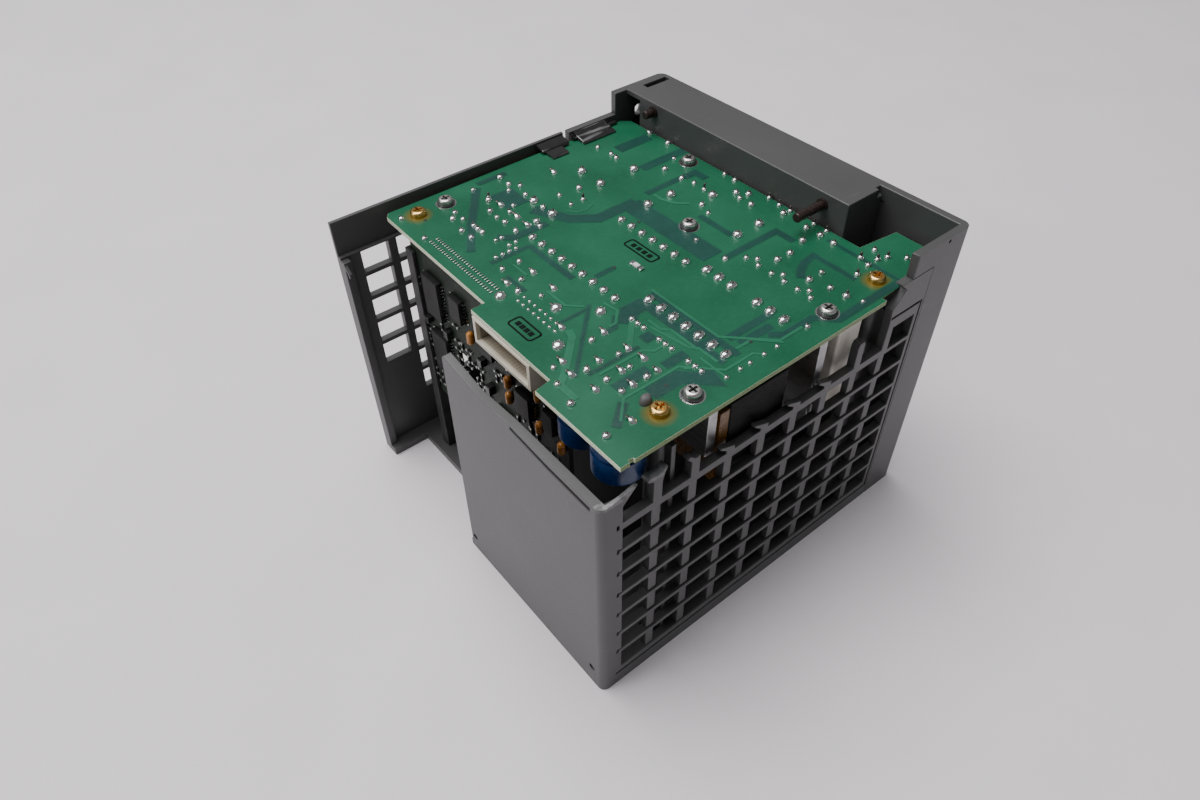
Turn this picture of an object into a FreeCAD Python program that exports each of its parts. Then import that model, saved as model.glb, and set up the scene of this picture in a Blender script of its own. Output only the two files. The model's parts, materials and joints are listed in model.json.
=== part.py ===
import FreeCAD, Part
import math
import os
from FreeCAD import Vector

# Rack power supply module, lying on its closed left side with its open right side up.
# Origin: centre of the footprint, on the resting face.  Millimetres.
# +X is the module's top, -X its bottom, +Y its front (terminal door), -Y its rear
# (backplane side), +Z its open right side, over which the main board is screwed.

# ---- driving dimensions -------------------------------------------------------------
CASE_X = 140.0            # module height, top to bottom wall
CASE_Y = 145.0            # module depth, rear plate to door face
CASE_Z = 114.0            # module width at the front bezel
SIDE_Z = 105.8            # height of the side walls behind the bezel
REAR_Z = 92.0             # height of the rear plate
WALL = 2.8                # thickness of the moulded walls
FLOOR = 3.0               # thickness of the closed side
BEZEL_BACK = 56.5         # where the housing ends and the bezel begins
BEZEL_EAR = 46.5          # rear end of the bezel's ears above the side walls
BOARD_TOP = 103.0         # solder side of the main board
BOARD_T = 1.6             # thickness of the printed boards

HX = CASE_X / 2
HY = CASE_Y / 2
INNER_X = HX - WALL       # inner face of the side walls
BOARD_LOW = BOARD_TOP - BOARD_T

# grille in both side walls: nine columns of windows between upright bars
WINDOW_Y = 10.4
PITCH_Y = 13.5
BAR_Y = PITCH_Y - WINDOW_Y
BAR_Z = 1.7
PITCH_Z = 10.3
GRILLE_Y0 = -65.0         # rear edge of the first window column
GRILLE_TOP = 90.3         # centre line of the border over the top row
TOP_BAR = 82.0            # upper face of the highest bar that is still complete

# bottom wall above its grille, and the board latch moulded onto it
THIN_WALL = 1.4
THIN_Z = 93.0
LATCH_GAP_Y = 22.4        # gap that frees the latch from the thin wall

# places where the board is fastened, (x, y)
CASE_SCREWS = [(-59.0, -45.5), (61.0, -45.5), (61.0, 41.8)]
REAR_SINK_SCREWS = [(-59.0, -34.8), (62.0, -34.8)]
FRONT_SINK_SCREWS = [(4.0, 18.4), (62.0, 18.4)]
EARTH_SCREW = (-26.2, 46.5)
WASHER_T = 0.5

# terminal compartment behind the hinged door
BOX_END = 39.3            # outer face of the compartment's upper end wall
BOX_BACK = 54.8           # front face of the compartment's back wall
BOX_WALL = 2.4
RECESS_X = -60.0          # free end of the back wall, beside the bottom cheek
BOX_TOP_T = 2.0
DOOR_X0 = -52.0
DOOR_X1 = BOX_END - BOX_WALL
DOOR_LOW = 7.0
DOOR_T = 2.0
HINGE_Y = HY - 1.9
HINGE_Z = 108.9
HINGE_R = 1.9
PIN_R = 0.9
DOOR_GAP = 0.35

# wiring terminals, a row along X inside the compartment
TERMINALS = 5
TERMINAL_PITCH = 10.0
TERMINAL_X0 = -42.0
BLOCK_Z0 = 28.0
BLOCK_Z1 = 52.0
BLOCK_FRONT = 64.0
POCKET_FLOOR = BOX_BACK + 3.0
SCREW_Z = 36.0
LEAD_Y = 49.8


# ---- small helpers ------------------------------------------------------------------
def box(x0, x1, y0, y1, z0, z1):
    """A block between two opposite corners."""
    return Part.makeBox(x1 - x0, y1 - y0, z1 - z0, Vector(x0, y0, z0))


def rod(x, y, z, radius, length, axis=(0, 0, 1)):
    """A round bar that starts at a point and runs along an axis."""
    return Part.makeCylinder(radius, length, Vector(x, y, z), Vector(*axis))


def tube(x, y, z, radius, hole, length, axis=(0, 0, 1)):
    """A round bar with a through hole."""
    return rod(x, y, z, radius, length, axis).cut(rod(x, y, z, hole, length, axis))


def prism(points, depth):
    """A flat outline of 3-D points, swept along a vector."""
    wire = Part.makePolygon([Vector(*p) for p in points] + [Vector(*points[0])])
    return Part.Face(wire).extrude(Vector(*depth))


def join(shapes):
    """One solid from pieces that touch or overlap."""
    result = shapes[0]
    for shape in shapes[1:]:
        result = result.fuse(shape)
    return result.removeSplitter()


def cut_all(shape, tools):
    """A shape with every tool removed from it."""
    if not tools:
        return shape
    return shape.cut(Part.makeCompound(tools))


def group(shapes):
    """Separate solids that share one node."""
    return Part.makeCompound(shapes)


def rounded(shape, radius, pick):
    """Fillet the edges whose middle point satisfies pick."""
    edges = []
    for edge in shape.Edges:
        middle = edge.valueAt((edge.FirstParameter + edge.LastParameter) / 2)
        if pick(middle):
            edges.append(edge)
    return shape.makeFillet(radius, edges)


def upright_edge(x, y, radius, high):
    """What rounding an outer upright edge takes away, from the floor up to high."""
    side_x = 1 if x > 0 else -1
    side_y = 1 if y > 0 else -1
    cx = x - side_x * radius
    cy = y - side_y * radius
    square = box(min(cx, cx + side_x * 2 * radius), max(cx, cx + side_x * 2 * radius),
                 min(cy, cy + side_y * 2 * radius), max(cy, cy + side_y * 2 * radius), -1, high)
    return square.cut(rod(cx, cy, -1, radius, high + 1))


# ---- housing ------------------------------------------------------------------------
def grille_windows(x0, x1, columns, rows, top, skip_row):
    """Window blocks through a side wall; skip_row(column, row) leaves one closed."""
    tools = []
    for column in range(columns):
        y0 = GRILLE_Y0 + column * PITCH_Y
        for row in range(rows):
            if skip_row(column, row):
                continue
            z1 = top - BAR_Z / 2 - row * PITCH_Z
            z0 = z1 - PITCH_Z + BAR_Z
            tools.append(box(x0, x1, y0, y0 + WINDOW_Y, z0, z1))
    return tools


def broken_stub(points, thick=WALL):
    """A torn remnant of the upright bars, flush with the outer face."""
    return prism([(HX - thick, y, z) for y, z in points], (thick, 0, 0))


def bar_rear(number):
    """Rear edge of an upright bar; bar 1 follows the first window column."""
    return GRILLE_Y0 + number * PITCH_Y - BAR_Y


def tall_stubs():
    """Three uprights that still reach above the top bar, each with a torn cap."""
    foot = TOP_BAR - 1.0
    rear = bar_rear(1)
    second = bar_rear(2)
    front = bar_rear(7)
    return [
        broken_stub([(rear, foot), (rear, 90.0), (rear - 2.2, 91.2), (rear - 1.9, 92.2),
                     (rear + 1.9, 91.8), (rear + 4.7, 93.2), (rear + 3.7, 90.8),
                     (rear + BAR_Y, 88.4), (rear + BAR_Y, foot)]),
        broken_stub([(second, foot), (second, 87.8), (second - 1.7, 90.0),
                     (second - 0.7, 90.6), (second + 1.3, 88.8), (second + BAR_Y, 89.0),
                     (second + BAR_Y, foot)]),
        broken_stub([(front, foot), (front, 90.0), (front + 0.6, 91.5), (front + 2.3, 91.6),
                     (front + BAR_Y, 90.4), (front + BAR_Y, foot)]),
    ]


def low_stubs():
    """Four uprights torn off close to the top bar, each leaving a sliver to the rear."""
    stubs = []
    for number in (3, 4, 5, 6):
        y = bar_rear(number)
        stubs.append(broken_stub([
            (y, TOP_BAR - 1.0), (y, TOP_BAR + 0.9), (y - 2.8, TOP_BAR + 2.9),
            (y - 2.3, TOP_BAR + 3.5), (y + 1.4, TOP_BAR + 2.0), (y + BAR_Y, TOP_BAR + 1.5),
            (y + BAR_Y, TOP_BAR - 1.0)], 1.9))
    return stubs


def upper_wall():
    """Module's top wall: a nine by eight grille whose upper border has broken away."""
    last_bar = bar_rear(8)
    outline = [
        (-HY, 0), (BEZEL_BACK, 0), (BEZEL_BACK, SIDE_Z), (last_bar + 2.2, SIDE_Z),
        (last_bar + 0.8, SIDE_Z + 0.8), (last_bar + 4.6, SIDE_Z - 2.7),
        (last_bar, SIDE_Z - 8.3), (last_bar + 0.4, REAR_Z + 0.3), (last_bar, TOP_BAR),
        (GRILLE_Y0, TOP_BAR), (GRILLE_Y0, REAR_Z - 2.4), (-HY, REAR_Z - 1.0),
    ]
    wall = prism([(INNER_X, y, z) for y, z in outline], (WALL, 0, 0))
    lip = broken_stub([(-HY, REAR_Z - 4.0), (-HY, REAR_Z - 0.4), (-66.0, REAR_Z + 0.2),
                       (-60.2, REAR_Z + 1.6), (-62.8, REAR_Z - 1.2), (-65.4, REAR_Z - 4.0)],
                      1.2)
    wall = join([wall, lip] + tall_stubs() + low_stubs())
    windows = grille_windows(INNER_X - 1, HX + 1, 9, 8, GRILLE_TOP,
                             lambda column, row: row == 0 and column < 8)
    return cut_all(wall, windows + bar_relief() + grille_groove())


def bar_relief():
    """Sets the uprights back from the level bars, with a fine line over each bar."""
    set_back = HX - 0.5
    line = HX - 1.1
    y0 = GRILLE_Y0 - 2.0
    y1 = bar_rear(9)
    tools = []
    for row in range(1, 8):
        z = GRILLE_TOP - row * PITCH_Z + BAR_Z / 2
        if row > 1:
            tools.append(box(line, HX + 1, y0, y1, z, z + 0.5))
        tools.append(box(line, HX + 1, y0, y0 + 0.9, z - 1.0, z + 0.9))
        tools.append(box(set_back, HX + 1, GRILLE_Y0, y1, z - PITCH_Z, z - BAR_Z))
    return tools


def grille_groove():
    """Shallow line that frames the grille on the outer face."""
    width = 0.8
    y0 = GRILLE_Y0 - 2.2
    y1 = BEZEL_BACK - 1.6
    z0 = 5.4
    z1 = GRILLE_TOP + 3.2
    x = HX - 0.6
    return [
        box(x, HX + 1, y0, y1 + width, z0, z0 + width),
        box(x, HX + 1, y1, y1 + width, z0, z1 + width),
        box(x, HX + 1, y1 - 14.2, y1, z1, z1 + width),
    ]


def lower_wall():
    """Module's bottom wall: grille of eight columns, thinner above it as far as the latch."""
    wall = box(-HX, -INNER_X, -HY, BEZEL_BACK, 0, SIDE_Z)
    windows = grille_windows(-HX - 1, -INNER_X + 1, 8, 7, GRILLE_TOP + 2.9,
                             lambda column, row: column == 0 and row > 4)
    thin = box(-HX + THIN_WALL, -INNER_X + 1, -HY - 1, LATCH_GAP_Y, THIN_Z, SIDE_Z + 1)
    latch_slot = box(-HX - 1, -INNER_X + 1, LATCH_GAP_Y, LATCH_GAP_Y + 1.8, 97.5, SIDE_Z + 1)
    flange = box(-HX, -HX + 5.0, -HY, -HY + WALL, 0, REAR_Z)
    hook = prism([(-HX + 4.9, -HY, 91.2), (-HX + 7.6, -HY, 88.8), (-HX + 7.6, -HY, 87.2),
                  (-HX + 6.8, -HY, 87.2), (-HX + 6.6, -HY, 88.4), (-HX + 4.9, -HY, 89.8)],
                 (0, 1.2, 0))
    wall = join([cut_all(wall, windows + [thin, latch_slot]), flange, hook])
    foot = box(-HX - 1, -HX + 6, -HY - 1, -HY + 3, -1, 3)
    return wall.cut(foot.cut(rod(-HX - 1, -HY + 3, 3, 3.0, 8, (1, 0, 0))))


def rear_plate():
    """Plain rear plate; it stops short of the bottom wall for the backplane."""
    points = [(-5.2, 0), (HX, 0), (HX, REAR_Z - 0.4), (31.0, REAR_Z), (14.0, REAR_Z - 1.2),
              (-0.6, REAR_Z + 1.7), (-2.4, REAR_Z + 2.0), (-3.4, REAR_Z + 0.9)]
    plate = prism([(x, -HY, z) for x, z in points], (0, WALL, 0))
    groove = prism([(x, -HY - 1, z) for x, z in (
        (31.0, 90.0), (47.0, 88.6), (65.8, 88.2), (65.8, 89.8), (47.0, 90.2), (31.0, 91.3))],
        (0, 2.2, 0))
    dimples = [rod(x, -HY - 1, z, 1.3, 1.6, (0, 1, 0)) for x, z in ((-2.6, 7.0), (64.5, 8.6))]
    return cut_all(plate, [groove] + dimples)


def board_post(x, y):
    """Post under a board screw with a rib to the nearest side wall."""
    side = 1 if x > 0 else -1
    rib = box(min(x, side * INNER_X), max(x, side * INNER_X), y - 0.8, y + 0.8,
              FLOOR - 0.5, BOARD_LOW - 6)
    post = rod(x, y, FLOOR - 0.5, 3.6, BOARD_LOW - FLOOR + 0.5)
    return join([post, rib])


def housing_shell():
    """Moulded case: floor, two grille walls, rear plate and the board posts."""
    floor = box(-HX, HX, -HY, BEZEL_BACK, 0, FLOOR)
    rear_gap = box(-62.0, -6.0, -HY - 1, -58.0, -1, FLOOR + 1)
    shell = join([floor.cut(rear_gap), upper_wall(), lower_wall(), rear_plate()]
                 + [board_post(x, y) for x, y in CASE_SCREWS])
    holes = [rod(x, y, BOARD_LOW - 14, 1.45, 15) for x, y in CASE_SCREWS]
    return cut_all(shell, holes + [upright_edge(HX, -HY, 2.5, CASE_Z)])


# ---- front bezel, door and hinge ----------------------------------------------------
MOUNT_HOLES_X = 60.0
MOUNT_HOLE_Z = 16.0
MOUNT_HOLE_R = 2.25
LED_X = 58.0
LED_Z = 98.0
LABEL = (43.5, 66.5, 22.0, 90.0)   # x0, x1, z0, z1 of the blank front label


def front_bezel():
    """Front frame with its ears and the terminal compartment behind the door opening."""
    back = BEZEL_BACK
    cheeks = [box(side * HX if side < 0 else INNER_X, -INNER_X if side < 0 else HX,
                  back, HY, 0, CASE_Z) for side in (-1, 1)]
    ears = [box(-HX, -INNER_X, BEZEL_EAR, back, SIDE_Z, CASE_Z),
            box(INNER_X, HX, BEZEL_EAR, back, SIDE_Z, CASE_Z)]
    bottom = box(-HX, HX, back, HY, 0, FLOOR)
    face = box(-HX, HX, HY - WALL, HY, 0, CASE_Z)
    face = face.cut(box(DOOR_X0, DOOR_X1, HY - WALL - 1, HY + 1, DOOR_LOW, CASE_Z - BOX_TOP_T))
    lid = box(-HX, BOX_END, BOX_BACK - BOX_WALL, HY, CASE_Z - BOX_TOP_T, CASE_Z)
    back_wall = box(RECESS_X, BOX_END, BOX_BACK - BOX_WALL, BOX_BACK, FLOOR, CASE_Z)
    ends = [box(DOOR_X1, BOX_END, BOX_BACK, HY, FLOOR, CASE_Z),
            box(DOOR_X0 - BOX_WALL, DOOR_X0, BOX_BACK, HY, FLOOR, CASE_Z)]
    bezel = join(cheeks + ears + [bottom, face, lid, back_wall] + ends)
    lid_slot = box(-66.2, -63.6, 59.5, 71.0, CASE_Z - BOX_TOP_T - 1, CASE_Z + 1)
    end_notch = box(BOX_END - 1.4, BOX_END + 1, HY - WALL - 2.4, HY - WALL,
                    CASE_Z - 3.0, CASE_Z + 1)
    label = box(LABEL[0], LABEL[1], HY - 0.6, HY + 1, LABEL[2], LABEL[3])
    led_hole = rod(LED_X, HY - WALL - 1, LED_Z, 2.1, WALL + 2, (0, 1, 0))
    mount_holes = [rod(x, HY - WALL - 1, MOUNT_HOLE_Z, MOUNT_HOLE_R, WALL + 2, (0, 1, 0))
                   for x in (-MOUNT_HOLES_X, MOUNT_HOLES_X)]
    pin_holes = [rod(DOOR_X0 - BOX_WALL - 1, HINGE_Y, HINGE_Z, PIN_R + 0.02, BOX_WALL + 2,
                     (1, 0, 0)),
                 rod(DOOR_X1 - 1, HINGE_Y, HINGE_Z, PIN_R + 0.02, BOX_WALL + 2, (1, 0, 0))]
    wire_slots = [box(x - 2.2, x + 2.2, BOX_BACK - BOX_WALL - 1, BOX_BACK + 1,
                      SCREW_Z + 4.0, SCREW_Z + 6.0) for x in terminal_places()]
    cheek_hole = rod(-HX - 1, 58.2, 104.2, 2.3, WALL + 2, (1, 0, 0))
    cheek_dimple = rod(HX - 0.4, 61.5, CASE_Z - 1.2, 0.6, 1.4, (1, 0, 0))
    corners = [upright_edge(x, HY, 3.0, CASE_Z + 1) for x in (-HX, HX)]
    return cut_all(bezel, [lid_slot, end_notch, label, led_hole, cheek_hole, cheek_dimple]
                   + mount_holes + pin_holes + wire_slots + corners)


def guide_pegs():
    """Two dark pins in the compartment's back wall, each with a small collar."""
    y = BOX_BACK - BOX_WALL
    pegs = []
    for x, z, length in ((29.5, 109.8, 12.7), (-52.0, 110.6, 4.6)):
        pin = rod(x, y, z, 1.6, length, (0, -1, 0))
        pin = rounded(pin, 0.4, lambda p: p.y < y - length + 0.1)
        pegs.append(join([pin, rod(x, y, z, 2.1, 0.9, (0, -1, 0))]))
    return group(pegs)


def door_leaf():
    """Door plate with its hinge barrel, finger lip and snap nub."""
    x0 = DOOR_X0 + DOOR_GAP
    x1 = DOOR_X1 - DOOR_GAP
    plate = box(x0, x1, HY - DOOR_T, HY, DOOR_LOW + DOOR_GAP, HINGE_Z)
    barrel = rod(x0, HINGE_Y, HINGE_Z, HINGE_R, x1 - x0, (1, 0, 0))
    ribs = [box(x - 0.6, x + 0.6, HY - DOOR_T - 1.0, HY - DOOR_T + 0.2, DOOR_LOW + 6,
                HINGE_Z - 8) for x in (x0 + 6, (x0 + x1) / 2, x1 - 6)]
    door = join([plate, barrel] + ribs)
    middle = (x0 + x1) / 2
    finger = rod(middle, HY + 1.4, DOOR_LOW + 1.5, 8.0, 1.0, (0, 0, 1))
    grip = prism([(middle - 9, HY + 0.01, DOOR_LOW + DOOR_GAP - 1),
                  (middle + 9, HY + 0.01, DOOR_LOW + DOOR_GAP - 1),
                  (middle + 9, HY - 1.1, DOOR_LOW + DOOR_GAP - 1),
                  (middle - 9, HY - 1.1, DOOR_LOW + DOOR_GAP - 1)], (0, 0, 5.0))
    bores = [rod(x0 - 1, HINGE_Y, HINGE_Z, PIN_R + 0.05, 7.0, (1, 0, 0)),
             rod(x1 - 6, HINGE_Y, HINGE_Z, PIN_R + 0.05, 7.0, (1, 0, 0))]
    return cut_all(door, bores + [grip.common(finger).fuse(grip)])


def hinge_pins():
    length = BOX_WALL + 5.5
    return group([rod(DOOR_X0 - BOX_WALL, HINGE_Y, HINGE_Z, PIN_R, length, (1, 0, 0)),
                  rod(BOX_END - length, HINGE_Y, HINGE_Z, PIN_R, length, (1, 0, 0))])


def front_label():
    return box(LABEL[0] + 0.1, LABEL[1] - 0.1, HY - 0.6, HY - 0.1, LABEL[2] + 0.1,
               LABEL[3] - 0.1)


def light_pipe():
    lens = rod(LED_X, HY - WALL - 1.0, LED_Z, 2.05, WALL + 1.0, (0, 1, 0))
    collar = rod(LED_X, HY - WALL - 1.0, LED_Z, 2.9, 0.95, (0, 1, 0))
    return join([lens, collar])


def power_led():
    body = rod(LED_X, 61.0, LED_Z, 1.5, 6.6, (0, 1, 0))
    base = rod(LED_X, 60.2, LED_Z, 1.9, 1.0, (0, 1, 0))
    legs = [box(LED_X + s - 0.25, LED_X + s + 0.25, 59.0, 60.4, LED_Z - 0.25, BOARD_LOW)
            for s in (-1.27, 1.27)]
    return join([body, base] + legs)


def board_latch():
    """Snap strip on the bottom wall: a sloped hook and a stepped tab over the board's edge."""
    under = BOARD_TOP + 0.05
    wall = -INNER_X
    thin = -HX + THIN_WALL
    leaf = box(wall, wall + 0.8, LATCH_GAP_Y + 2.0, 45.5, 94.0, 104.6)
    hook = prism([(wall, 26.0, under), (-60.2, 26.0, under), (-60.2, 26.0, under + 0.4),
                  (-61.6, 26.0, under + 1.1), (-64.8, 26.0, under + 1.6),
                  (wall, 26.0, under + 2.6)], (0, 15.0, 0))
    ledge = box(wall, -64.8, LATCH_GAP_Y + 2.0, 45.5, under, under + 1.2)
    rail = box(thin, thin + 1.0, 9.6, LATCH_GAP_Y - 0.4, 94.0, 104.6)
    step = prism([(thin, 9.6, under + 0.6), (-63.6, 9.6, under + 0.6),
                  (-64.0, 9.6, under + 1.5), (thin, 9.6, under + 2.2)], (0, 12.0, 0))
    tab = prism([(thin, 10.6, under), (-58.6, 10.6, under), (-59.2, 10.6, under + 0.9),
                 (-63.2, 10.6, under + 1.0), (thin, 10.6, under + 1.0)], (0, 7.2, 0))
    bridge = box(wall, wall + 0.8, LATCH_GAP_Y - 1.0, LATCH_GAP_Y + 3.0, 94.0, 97.0)
    rest = box(thin, wall + 0.8, LATCH_GAP_Y - 1.0, LATCH_GAP_Y - 0.4, 94.0, 97.0)
    return join([leaf, hook, ledge, rail, step, tab, bridge, rest])


# ---- main board ---------------------------------------------------------------------
BOARD_LEFT = -66.2
BOARD_RIGHT = 69.4        # overhangs the broken wall
BOARD_REAR = -65.5
BOARD_FRONT = 51.3
SOCKET_X0 = -4.5
SOCKET_X1 = 24.0


def main_board():
    """Board outline: two steps at the rear, a tongue beside the terminal box."""
    outline = [
        (BOARD_LEFT, -53.0), (BOARD_LEFT + 2.0, -54.5), (-5.2, -55.0), (-5.2, -59.8),
        (33.6, -60.0), (34.4, BOARD_REAR), (BOARD_RIGHT, BOARD_REAR), (BOARD_RIGHT, 36.0),
        (INNER_X - 0.3, 36.0), (INNER_X - 0.3, 67.0), (49.0, 67.0), (47.0, BOARD_FRONT),
        (-63.5, BOARD_FRONT), (BOARD_LEFT, BOARD_FRONT - 3.0),
    ]
    board = prism([(x, y, BOARD_LOW) for x, y in outline], (0, 0, BOARD_T))
    silver = REAR_SINK_SCREWS + FRONT_SINK_SCREWS + [EARTH_SCREW]
    holes = [rod(x, y, BOARD_LOW - 1, 1.7, BOARD_T + 2) for x, y in CASE_SCREWS + silver]
    latch_room = box(BOARD_LEFT - 1, BOARD_LEFT + 0.2, 11.0, 46.5, BOARD_LOW - 1, BOARD_TOP + 1)
    chip = prism([(BOARD_RIGHT - 1.0, BOARD_REAR + 3.2, BOARD_LOW - 1),
                  (BOARD_RIGHT + 1, BOARD_REAR + 3.0, BOARD_LOW - 1),
                  (BOARD_RIGHT + 1, BOARD_REAR + 4.8, BOARD_LOW - 1),
                  (BOARD_RIGHT - 0.6, BOARD_REAR + 4.6, BOARD_LOW - 1)], (0, 0, BOARD_T + 2))
    return cut_all(board, holes + [latch_room, chip])


def pan_screw(x, y, z, length, head_r, head_h):
    """M3 pan head screw with a cross recess, standing on z and pointing down."""
    head = rod(x, y, z, head_r, head_h)
    head = rounded(head, head_h * 0.55, lambda p: p.z > z + head_h - 0.1)
    reach = head_r * 0.6
    deep = z + head_h * 0.45
    arms = [box(x - reach, x + reach, y - 0.4, y + 0.4, deep, deep + 3),
            box(x - 0.4, x + 0.4, y - reach, y + reach, deep, deep + 3)]
    stem = rod(x, y, z - length, 1.4, length + 0.3)
    return cut_all(join([head, stem]), [join(arms)])


def case_board_screws():
    return group([pan_screw(x, y, BOARD_TOP, 10.0, 2.7, 1.9) for x, y in CASE_SCREWS])


def bracket_screws():
    places = REAR_SINK_SCREWS + FRONT_SINK_SCREWS + [EARTH_SCREW]
    return group([pan_screw(x, y, BOARD_TOP + WASHER_T, 4.5, 2.5, 1.7) for x, y in places])


def bracket_washers():
    places = REAR_SINK_SCREWS + FRONT_SINK_SCREWS + [EARTH_SCREW]
    return group([tube(x, y, BOARD_TOP, 3.05, 1.6, WASHER_T) for x, y in places])


# ---- heat sinks and power parts -----------------------------------------------------
REAR_SINK_LOW = 80.0
FRONT_SINK_LOW = 62.0
FLANGE_T = 2.5
REAR_SINK_Y = (-32.0, -28.5)
FRONT_SINK_Y = (12.5, 16.0)


def heat_sink_rear():
    """Angle across the whole board for the rectifier diodes."""
    y0, y1 = REAR_SINK_Y
    plate = box(-63.0, 66.0, y0, y1, REAR_SINK_LOW, BOARD_LOW)
    flange = box(-63.0, 66.0, y0 - 7.5, y1, BOARD_LOW - FLANGE_T, BOARD_LOW)
    holes = [rod(x, y, BOARD_LOW - 5, 1.42, 6) for x, y in REAR_SINK_SCREWS]
    return cut_all(join([plate, flange]), holes)


def heat_sink_front():
    """Shorter, deeper angle for the switching transistors."""
    y0, y1 = FRONT_SINK_Y
    plate = box(0.0, 66.0, y0, y1, FRONT_SINK_LOW, BOARD_LOW)
    flange = box(0.0, 66.0, y0, y1 + 7.0, BOARD_LOW - FLANGE_T, BOARD_LOW)
    holes = [rod(x, y, BOARD_LOW - 5, 1.42, 6) for x, y in FRONT_SINK_SCREWS]
    return cut_all(join([plate, flange]), holes)


def earth_bracket():
    x, y = EARTH_SCREW
    top = box(x - 5, x + 5, y - 4.6, y + 2.8, BOARD_LOW - 1.5, BOARD_LOW)
    leg = box(x - 5, x + 5, y - 4.6, y - 3.4, BOARD_LOW - 22, BOARD_LOW)
    return join([top, leg]).cut(rod(x, y, BOARD_LOW - 3, 1.42, 4))


DIODE_X = (-4.0, 10.0)
SWITCH_X = (6.0, 18.5)
DEVICE_TOP = 97.5
PAD_T = 0.3


def power_device(x, face, outward):
    """Flat power package against a heat sink face, legs up to the board."""
    y0 = face + outward * PAD_T
    y1 = y0 + outward * 4.4
    low, high = min(y0, y1), max(y0, y1)
    tab = box(x - 5, x + 5, min(y0, y0 + outward * 1.3), max(y0, y0 + outward * 1.3),
              DEVICE_TOP - 16, DEVICE_TOP)
    body = box(x - 5, x + 5, low, high, DEVICE_TOP - 9.2, DEVICE_TOP)
    middle = (low + high) / 2
    legs = [box(x + s - 0.4, x + s + 0.4, middle - 0.25, middle + 0.25, DEVICE_TOP - 0.5,
                BOARD_LOW) for s in (-2.54, 0, 2.54)]
    hole = rod(x, face - 8, DEVICE_TOP - 12.6, 1.6, 16, (0, 1, 0))
    return join([tab, body] + legs).cut(hole)


def rectifier_diodes():
    return group([power_device(x, REAR_SINK_Y[1], 1) for x in DIODE_X])


def switch_transistors():
    return group([power_device(x, FRONT_SINK_Y[0], -1) for x in SWITCH_X])


def insulator_pads():
    pads = []
    for places, face, outward in ((DIODE_X, REAR_SINK_Y[1], 1), (SWITCH_X, FRONT_SINK_Y[0], -1)):
        for x in places:
            low = min(face, face + outward * PAD_T)
            pad = box(x - 5.8, x + 5.8, low, low + PAD_T, DEVICE_TOP - 17, DEVICE_TOP + 1)
            pads.append(pad.cut(rod(x, face - 4, DEVICE_TOP - 12.6, 1.6, 8, (0, 1, 0))))
    return group(pads)


def device_screws():
    screws = []
    for places, face, outward in ((DIODE_X, REAR_SINK_Y[1], 1), (SWITCH_X, FRONT_SINK_Y[0], -1)):
        for x in places:
            seat = face + outward * (PAD_T + 1.3)
            z = DEVICE_TOP - 12.6
            head = rod(x, seat, z, 2.7, 1.8, (0, outward, 0))
            slot = box(x - 0.4, x + 0.4, seat - 3, seat + 3, z - 3, z + 3)
            slot = slot.common(rod(x, seat + outward * 1.0, z, 3, 1.5, (0, outward, 0)))
            stem = rod(x, seat, z, 1.4, PAD_T + 1.3, (0, -outward, 0))
            screws.append(join([head.cut(slot), stem]))
    return group(screws)


TRANSFORMER_X = (31.0, 66.4)
TRANSFORMER_Y = (-23.8, -1.0)
TRANSFORMER_Z = (64.0, 96.0)


def transformer_core():
    """Two E halves: a frame with a middle leg through the winding."""
    x0, x1 = TRANSFORMER_X
    y0, y1 = TRANSFORMER_Y
    z0, z1 = TRANSFORMER_Z
    frame = box(x0, x1, y0, y1, z0, z1)
    window = box(x0 + 5, x1 - 5, y0 - 1, y1 + 1, z0 + 5, z1 - 5)
    leg = box(x0 + 5, x1 - 5, y0 + 4, y1 - 4, z0 + 12, z1 - 12)
    return join([frame.cut(window), leg])


def transformer_winding():
    """Taped winding around the middle leg, standing out to the rear of the core."""
    x0, x1 = TRANSFORMER_X
    y0, y1 = TRANSFORMER_Y
    z0, z1 = TRANSFORMER_Z
    coil = box(x0 + 5.2, x1 - 5.2, y0 - 3.8, y1 + 1.5, z0 + 5.2, z1 - 5.2)
    coil = rounded(coil, 1.2, lambda p: not (y0 < p.y < y1) and z0 + 6 < p.z < z1 - 6)
    pad = box(x0 + 0.4, x1 - 0.4, y0 - 3.6, y0 - 0.05, z0 + 2.0, z1 - 2.0)
    tunnel = box(x0 + 5.1, x1 - 5.1, y0 + 3.9, y1 - 3.9, z0 + 11.9, z1 - 11.9)
    return join([coil, pad]).cut(tunnel)


CAN_EDGE = 2.0


def can(x, y, radius, low, high):
    """Electrolytic capacitor hanging from the board, with a crimp near its seal."""
    body = rod(x, y, low, radius, high - low)
    body = rounded(body, CAN_EDGE, lambda p: p.z < low + 0.1)
    ring = tube(x, y, high - 4.0, radius + 1, radius - 0.5, 1.2)
    return body.cut(ring)


def bulk_capacitors():
    return group([can(x, -12.0, 11.0, 62.0, BOARD_LOW - 0.4) for x in (-48.0, -22.0)])


def output_capacitors():
    return group([can(44.0, -57.2, 6.9, 88.4, BOARD_LOW - 0.4),
                  can(59.2, -57.6, 7.4, 88.4, BOARD_LOW - 0.4)])


def small_capacitors():
    return group([can(x, -45.0, 4.0, 87.0, BOARD_LOW - 0.4) for x in (-46.0, -34.0, -22.0)])


def line_choke_core():
    return Part.makeTorus(9.0, 3.2, Vector(-45.0, 24.0, 86.0), Vector(0, 0, 1))


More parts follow.
